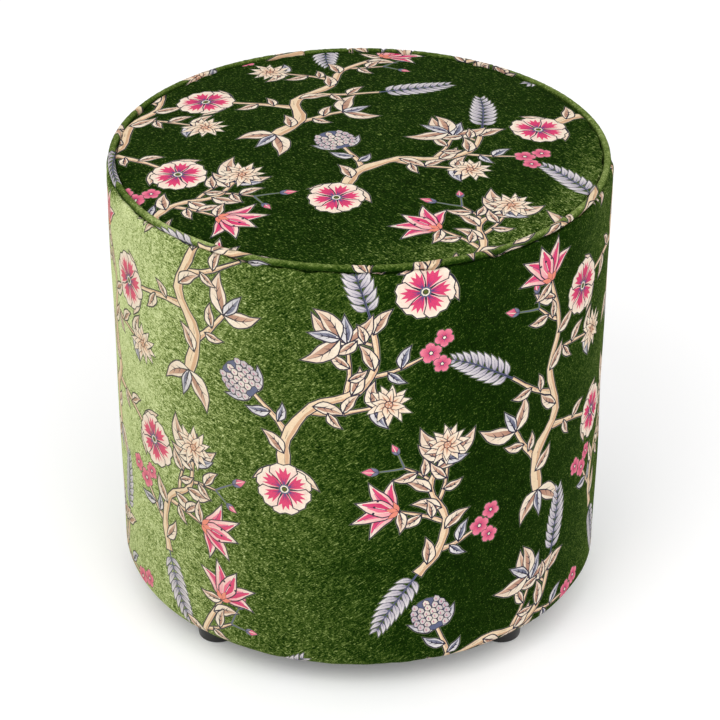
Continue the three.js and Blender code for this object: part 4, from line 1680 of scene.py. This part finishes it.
rim_middle = crown_top - crown_fall - rim_bend_radius
crown_edge_radius = seat_radius - rim_bend_radius
crown_steps = 120
seat_profile = Profile(
    [(r, crown_top - crown_fall * (r / crown_edge_radius) ** crown_power)
     for r in np.linspace(0, crown_edge_radius, crown_steps)]
    + arc((crown_edge_radius, rim_middle), rim_bend_radius, 90, 0)
    + [(seat_radius, allowance_low)],
    (0, crown_top),
)
seat_reach = seat_profile.length[-1]
seat_edge = seat_reach - (rim_middle - allowance_low)
seat_puckers = Ripples(seed=21, count=9, fewest=50, most=90)
seat_slack = Ripples(seed=22, count=10, fewest=0, most=9, steepest=0.045)
seat_draws = Ripples(seed=24, count=12, fewest=16, most=46)
seat_net_rows = np.linspace(SEAT_NET_START, seat_edge, SEAT_NET_ROWS)
seat_settled = settled("seat_net", seat_net_rows, seat_profile.form, seat_draws, [SEAT_NET_ROWS - 1])


def seat_surface(flat):
    out = np.hypot(flat[:, 0], flat[:, 1])
    angle = np.arctan2(flat[:, 1], flat[:, 0])
    off_middle = np.clip(out / seat_middle_reach, 0, 1)
    near_seam = np.exp(-np.abs(out - seat_edge + seat_pucker_inset) / seat_pucker_reach)
    pucker = PUCKER_DEPTH * seat_puckers.at(angle) * near_seam
    free = off_middle * np.clip((seat_edge - out) / slack_margin, 0, 1)
    broad = SLACK_DEPTH * seat_slack.at(angle, out) * free
    return seat_profile.form(angle, out, pucker + broad + seat_settled.at(angle, out) * off_middle)


FEWEST_SIDES = 6

# The seat's mesh in zones of its radius. Each has its first and last ring, the step between its rings and
# the step round them.
seat_zones = (
    (flat_step, seat_edge - 26, flat_step, flat_step),
    (seat_edge - 20, seat_edge - 8, 4, 4.5),
    (seat_edge - 6.5, seat_edge + 1, 1, 4),
    (seat_edge + 4, seat_reach, 4, flat_step),
)
seat_shown_reach = seat_edge + 2


def circle(radius, step):
    return ring((0, 0), radius, max(FEWEST_SIDES, round(TURN * radius / step)))


def seat_cover(cloth):
    """The seat. Its mesh is in rings, which are close over the rim."""
    rings = [
        circle(r, step) for first, last, ring_step, step in seat_zones
        for r in spaced(first, last, ring_step) if r < seat_reach
    ]
    cut = cut_cloth(cloth, circle(seat_reach, flat_step), np.vstack([(0, 0), *rings]), *SEAT_CUT)
    back_grid = np.vstack([(0, 0)] + [r[::2] for r in rings[::2]])
    map_rows = (-seat_shown_reach, seat_shown_reach, -seat_shown_reach, seat_shown_reach, 1)
    return velvet_shell("velvet_seat", cut, seat_surface, back_grid, map_rows, seat_painted_light)


# Piping: a strip folded round a cord, with both its edges in the seam

tail_outer = piping_radius - loop_radius + 2 * velvet_thickness + tail_gap
meet_degrees = math.degrees(math.acos((tail_outer - piping_radius) / loop_radius))
piping_profile = Profile(
    [(piping_radius - loop_radius, allowance_low)]
    + arc((piping_radius, piping_height), loop_radius, 180, -meet_degrees, 2 * ARC_STEPS)
    + [(tail_outer, allowance_low)],
    (piping_radius, piping_height + loop_radius),
)
piping_joint_angle = back_angle + piping_joint_turn
cord_lay = Ripples(seed=31, count=12, fewest=90, most=260, steepest=0.5)


def piping_relief(angle, down):
    """The cord's lay, which shows faintly through the strip."""
    shown = np.clip((cord_lay_reach - np.abs(down)) / cord_lay_fade, 0, 1)
    return CORD_LAY_DEPTH * cord_lay.at(angle, down) * shown


piping_strip = Strip(
    piping_profile, piping_radius, piping_joint_angle, piping_relief,
    turn_in=piping_turn_in, roll=piping_end_roll, half_gap=piping_half_gap,
)

# The piping's mesh over the cord and on its two tails: the heights at which they begin or end, the steps
# between rows, and the step along the cord's
cord_zone_reach = 6.5
cord_row_step = 1.1
cord_step = 2.6
upper_tail_end = 6
lower_tail_start = -8
tail_row_step = 4

# The steps of its outline and its back, what heights of it the bake map shows, and in how many rows
piping_outline_steps = (6, 2)
piping_back_row_step = 2.4
piping_back_step = 6
piping_shown = (-9, 8)
piping_map_rows = 9


def piping(cloth):
    """The piping's strip. Its mesh is close over the cord."""
    low, high = piping_strip.low, piping_strip.high
    levels = [
        (spaced(high, upper_tail_end, tail_row_step)[1:-1], flat_step),
        (spaced(cord_zone_reach, -cord_zone_reach, cord_row_step), cord_step),
        (spaced(lower_tail_start, low, tail_row_step)[:-1], flat_step),
    ]
    outline = piping_strip.outline(*piping_outline_steps)
    cut = cut_cloth(cloth, outline, piping_strip.grid(levels), *PIPING_CUT)
    back_grid = piping_strip.grid([(spaced(low, high, piping_back_row_step)[1:-1], piping_back_step)])
    map_rows = (piping_strip.left, piping_strip.right, *piping_shown, piping_map_rows)
    return velvet_shell("piping_strip_velvet", cut, piping_strip.surface, back_grid, map_rows, piping_painted_light)


# Feet, dust cover and staples

foot_low, foot_high = corners("foot_front_left")
foot_height = foot_high.z - foot_low.z
foot_top_radius = (foot_high.x - foot_low.x) / 2
foot_floor_radius = 18.0
foot_edge_radius = 3.0
foot_top_edge_radius = 0.8
foot_wall_degrees = -4
foot_sides = 72
foot_floor_edge_steps = 12
foot_top_edge_steps = 6
recess_edge_steps = 4
sharp_degrees = 35
recess_radius = 7.0
recess_edge_radius = 0.6
recess_depth = 16.0
screw_head_radius = 4.8
screw_hole_radius = 2.55
screw_head_height = 3.3


def foot(place):
    """A round moulded foot with a screw recess, turned from a closed profile."""
    low, high = corners(f"foot_{place}")
    middle = ((low.x + high.x) / 2, (low.y + high.y) / 2)
    recess_edge = (recess_radius + recess_edge_radius, recess_edge_radius)
    floor_edge = (foot_floor_radius - foot_edge_radius, foot_edge_radius)
    top_edge = (foot_top_radius - foot_top_edge_radius, foot_height - foot_top_edge_radius)
    profile = (
        arc(recess_edge, recess_edge_radius, 180, 270, recess_edge_steps)
        + arc(floor_edge, foot_edge_radius, -90, foot_wall_degrees, foot_floor_edge_steps)
        + arc(top_edge, foot_top_edge_radius, foot_wall_degrees, 90, foot_top_edge_steps)
        + [(screw_hole_radius, foot_height), (screw_hole_radius, recess_depth + screw_head_height),
           (screw_head_radius, recess_depth), (recess_radius, recess_depth)]
    )
    places = [(x, y, z) for r, z in profile for x, y in ring(middle, r, foot_sides)]
    count = len(places)
    faces = [tuple(i % count for i in face[::-1]) for face in ring_quads(len(profile) + 1, foot_sides)]
    made = smooth_object(f"moulded_foot_{place}", places, faces)
    made.data.set_sharp_from_angle(angle=math.radians(sharp_degrees))
    return made


dust_low, dust_high = corners("dust_cover")
dust_radius = dust_high.x
dust_sag = 1.4
dust_lift = 0.22
dust_wrinkle = 0.10
dust_gap = 0.2
dust_still_margin = 30
dust_lift_reach = 14
dust_wrinkle_inset = 20
dust_wrinkle_reach = 22
dust_sides = 144

# Its rings in two zones, each with its first and last radius and the step between
dust_zones = ((6, dust_radius - 28, 7), (dust_radius - 24, dust_radius, 3))
dust_cloth_thickness = 0.5
staple_count = 36
staple_inset = 5.0
staple_crown = 10.5
staple_leg = 4.0
staple_wire_width = 1.1
staple_wire_thickness = 0.5
staple_drop = 0.45
staple_turn = 0.16
staple_seed = 5
staple_pull = Ripples(seed=41, count=6, fewest=18, most=54)


def dust_height(x, y):
    """Height of the dust cover's underside, drawn up at its staples and sagging between the feet."""
    out, angle = math.hypot(x, y), math.atan2(y, x)
    free = max(0.0, 1 - (out / (dust_radius - dust_still_margin)) ** 2)
    near_staples = math.exp(-((out - dust_radius + staple_inset) / dust_lift_reach) ** 2)
    pulled = dust_lift * near_staples * (1 + math.cos(staple_count * angle)) / 2
    near_edge = math.exp(-((out - dust_radius + dust_wrinkle_inset) / dust_wrinkle_reach) ** 2)
    wrinkle = dust_wrinkle * float(staple_pull.at(angle, out)) * near_edge
    return dust_low.z - dust_gap - dust_sag * free * free + pulled + wrinkle


def dust_cover():
    radii = [r for zone in dust_zones for r in spaced(*zone)]
    flat = [(0, 0)] + [spot for r in radii for spot in ring((0, 0), r, dust_sides)]
    faces = [(0, 1 + (k + 1) % dust_sides, 1 + k) for k in range(dust_sides)]
    faces += [tuple(i + 1 for i in face[::-1]) for face in ring_quads(len(radii), dust_sides)]
    made = smooth_object("dust_cover_cloth", [(x, y, dust_height(x, y)) for x, y in flat], faces)
    thick = made.modifiers.new("thickness", "SOLIDIFY")
    thick.thickness = dust_cloth_thickness * MM
    thick.offset = -1
    return made


class RingTree(Nodes):
    """Geometry Nodes that set copies of one piece in a ring. Their sizes, in metres, are named inputs."""

    def __init__(self, name, sizes):
        super().__init__(bpy.data.node_groups.new(name, "GeometryNodeTree"))
        self.sizes = sizes
        kinds = {int: "NodeSocketInt", float: "NodeSocketFloat", bpy.types.Material: "NodeSocketMaterial"}
        self.tree.interface.new_socket("Geometry", in_out="OUTPUT", socket_type="NodeSocketGeometry")
        for key, value in sizes.items():
            self.tree.interface.new_socket(key, in_out="INPUT", socket_type=kinds[type(value)])
        self.inputs = self.tree.nodes.new("NodeGroupInput").outputs

    def size(self, name):
        return Value(self, self.inputs[name])

    def vector(self, x=0.0, y=0.0, z=0.0):
        return self.add("ShaderNodeCombineXYZ", {0: x, 1: y, 2: z}).outputs[0]

    def box(self, x, y, z):
        return self.add("GeometryNodeMeshCube", {"Size": self.vector(x, y, z)}).outputs["Mesh"]

    def rod(self, radius, length):
        inputs = {"Vertices": rod_sides, "Radius": radius, "Depth": length}
        return self.add("GeometryNodeMeshCylinder", inputs).outputs["Mesh"]

    def moved(self, geometry, place, turn=(0, 0, 0)):
        inputs = {"Geometry": geometry, "Translation": place, "Rotation": turn}
        return self.add("GeometryNodeTransform", inputs).outputs[0]

    def ring_of(self, name, parts):
        """Joins the parts, sets copies of them in the ring, and gives that as a plain mesh object."""
        piece = self.add("GeometryNodeJoinGeometry", {"Geometry": parts}).outputs[0]
        places = {"Vertices": self.inputs["Count"], "Radius": self.inputs["Radius"]}
        places = self.add("GeometryNodeMeshCircle", places).outputs["Mesh"]
        index = Value(self, self.add("GeometryNodeInputIndex").outputs[0])
        spread = self.size("Turn by chance")
        chance = {2: spread * -1.0, 3: spread, "Seed": self.inputs["Seed"]}
        chance = self.add("FunctionNodeRandomValue", chance).outputs[1]
        angle = index * self.math("DIVIDE", TURN, self.inputs["Count"]) + chance + QUARTER
        copies = self.add("GeometryNodeInstanceOnPoints", {
            "Points": places, "Instance": piece, "Rotation": self.vector(z=angle),
        }).outputs[0]
        lifted = self.moved(copies, self.vector(z=self.inputs["Height"]))
        real = self.add("GeometryNodeRealizeInstances", {"Geometry": lifted}).outputs[0]
        finished = {"Geometry": real, "Material": self.inputs["Material"]}
        finished = self.add("GeometryNodeSetMaterial", finished).outputs[0]
        self.add("NodeGroupOutput", {"Geometry": finished})

        carrier = new_object(name, bpy.data.meshes.new(name + "_start"))
        modifier = carrier.modifiers.new("build", "NODES")
        modifier.node_group = self.tree
        for item in self.tree.interface.items_tree:
            if item.in_out == "INPUT":
                modifier[item.identifier] = self.sizes[item.name]
        built = carrier.evaluated_get(bpy.context.evaluated_depsgraph_get())
        mesh = bpy.data.meshes.new_from_object(built)
        carrier.modifiers.clear()
        carrier.data = mesh
        mesh.name = name
        return carrier


def dust_cover_staples(material):
    """Staples in a ring, lying flat under the dust cover, each turned a little by chance."""
    t = RingTree("staple_ring", {
        "Count": staple_count, "Radius": (dust_radius - staple_inset) * MM,
        "Height": (dust_low.z - staple_drop) * MM, "Crown": staple_crown * MM, "Leg": staple_leg * MM,
        "Wire width": staple_wire_width * MM, "Wire thickness": staple_wire_thickness * MM,
        "Turn by chance": staple_turn, "Seed": staple_seed, "Material": material,
    })
    crown, leg = t.size("Crown"), t.size("Leg")
    wide, thick = t.size("Wire width"), t.size("Wire thickness")
    aside = (crown - thick) * 0.5
    up = (leg - thick) * 0.5
    post = t.box(thick, wide, leg)
    legs = [t.moved(post, t.vector(side, 0.0, up)) for side in (aside, aside * -1.0)]
    return t.ring_of("dust_cover_staples", [t.box(crown, wide, thick), *legs])


stitch_length = 3.5
stitch_shown_share = 0.86
thread_thickness = 0.45
rod_sides = 6
seam_middle = (seat_radius + band_fold_inner) / 2
seam_layers = band_fold_inner - seat_radius + 2 * velvet_thickness + thread_thickness


def seam_stitches(material):
    """The lockstitches of the piped seam: thread along both faces of the layers, and through them."""
    t = RingTree("stitch_ring", {
        "Count": round(TURN * seam_middle / stitch_length), "Radius": seam_middle * MM,
        "Height": (allowance_low + band_top) / 2 * MM, "Length": stitch_length * MM,
        "Layers": seam_layers * MM, "Thread": thread_thickness / 2 * MM,
        "Turn by chance": 0.0, "Seed": staple_seed, "Material": material,
    })
    length, layers, thread = t.size("Length"), t.size("Layers"), t.size("Thread")
    aside = layers * 0.5
    shown = length * stitch_shown_share
    along_seam, through = (0, QUARTER, 0), (QUARTER, 0, 0)
    return t.ring_of("seam_stitches", [
        t.moved(t.rod(thread, shown), t.vector(y=aside), along_seam),
        t.moved(t.rod(thread, shown), t.vector(y=aside * -1.0), along_seam),
        t.moved(t.rod(thread, layers), t.vector(length * 0.5), through),
    ])


# Camera, floor and light


def camera():
    """The photograph's view: its pitch and lens follow from the drum's outline there."""
    made = new_object("camera", bpy.data.cameras.new("camera"))
    distance = CAMERA_DISTANCE_SHARE * drum_radius
    across, up = (share * drum_radius for share in CAMERA_AIM_SHARES)
    way = Vector((0, math.cos(CAMERA_PITCH), -math.sin(CAMERA_PITCH)))
    made.location = (Vector((across, 0, hem_low + up)) - way * distance) * MM
    made.rotation_euler = (QUARTER - CAMERA_PITCH, 0, 0)
    made.data.sensor_width = CAMERA_SENSOR_WIDTH
    made.data.lens = CAMERA_SENSOR_WIDTH * CAMERA_FOCAL_PIXELS / PHOTO_PIXELS
    made.data.clip_end = CAMERA_FAR_END
    bpy.context.scene.camera = made


def floor():
    flat = rectangle((-FLOOR_REACH, -FLOOR_REACH), (FLOOR_REACH, FLOOR_REACH))
    made = smooth_object("floor", [(x, y, 0) for x, y in flat], [(0, 1, 2, 3)])
    f = Finish("pale_floor")
    f.finish(Base_Color=(*[FLOOR_ALBEDO] * 3, 1), Roughness=1.0, Specular_IOR_Level=0.0)
    lift = f.background_rays() * FLOOR_LIFT
    glow = f.add("ShaderNodeEmission", {"Color": WHITE_LIGHT, "Strength": lift})
    both = f.add("ShaderNodeAddShader", {0: f.shader.outputs[0], 1: glow.outputs[0]})
    f.feed(f.tree.nodes["Material Output"], {"Surface": both.outputs[0]})
    made.data.materials.append(f.material)


def lamp(name, place, power):
    data = bpy.data.lights.new(name, "AREA")
    data.shape = "DISK"
    data.size = LAMP_SIZE
    data.energy = power
    made = new_object(name, data)
    made.location = place
    made.rotation_euler = (Vector(LAMP_AIM) - Vector(place)).to_track_quat("-Z", "Y").to_euler()


def light():
    """A white background where it is seen, a plain level of light for the rest, and two lamps."""
    world = bpy.data.worlds.new("studio")
    bpy.context.scene.world = world
    world.use_nodes = True
    w = Nodes(world.node_tree)
    strength = {"Value": w.background_rays(), "To Min": WORLD_STRENGTH, "To Max": 1.0}
    strength = w.add("ShaderNodeMapRange", strength).outputs["Result"]
    w.feed(w.tree.nodes["Background"], {"Color": WHITE_LIGHT, "Strength": strength})
    for name, (place, power) in LAMPS.items():
        lamp(name, place, power)


# Putting it together


def dress(piece, slot, material, *nodes):
    """Gives a piece its body and its finish, and hides the nodes it stands for. The slot argument is not
    used.
    """
    piece.data.materials.clear()
    piece.data.materials.append(material)
    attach(piece, "root")
    if nodes:
        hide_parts(*nodes)
    return piece


def finish_nodes(material, names):
    for name in names:
        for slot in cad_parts[name].material_slots:
            slot.material = material


camera()
floor()
light()

cloth = printed_cloth()
band = dress(side_band(cloth), "velvet", velvet_finish("crushed_velvet", BAND_FLECK_SHARE), "side_band")
seat = dress(seat_cover(cloth), "velvet", velvet_finish("seat_velvet", SEAT_FLECK_SHARE), "seat_cover")
strip_velvet = velvet_finish("stretched_velvet", PIPING_FLECK_SHARE)
dress(piping(cloth), "piping_velvet", strip_velvet, "piping_strip")

plastic = plastic_finish()
for place in FOOT_PLACES:
    dress(foot(place), "plastic", plastic, f"foot_{place}")

dust = dress(dust_cover(), "dust_cloth", dust_cloth_finish(), "dust_cover")

zinc = zinc_finish()
thread = thread_finish()
dress(dust_cover_staples(zinc), "zinc", zinc)
dress(seam_stitches(thread), None, thread)

screws = [f"{end}_post_screw_{i}" for end in ("base", "top") for i in range(1, 7)]
screws += [f"foot_screw_{place}" for place in FOOT_PLACES]
finish_nodes(foam_finish(), ["seat_foam", "side_foam"])
finish_nodes(wadding_finish(), ["seat_wadding", "side_wadding"])
finish_nodes(cord_finish(), ["piping_cord"])
finish_nodes(zinc, screws)
for name, (*look, nodes) in WOODS.items():
    finish_nodes(wood_finish(name, *look), nodes)

bpy.context.scene.view_settings.view_transform = "Standard"
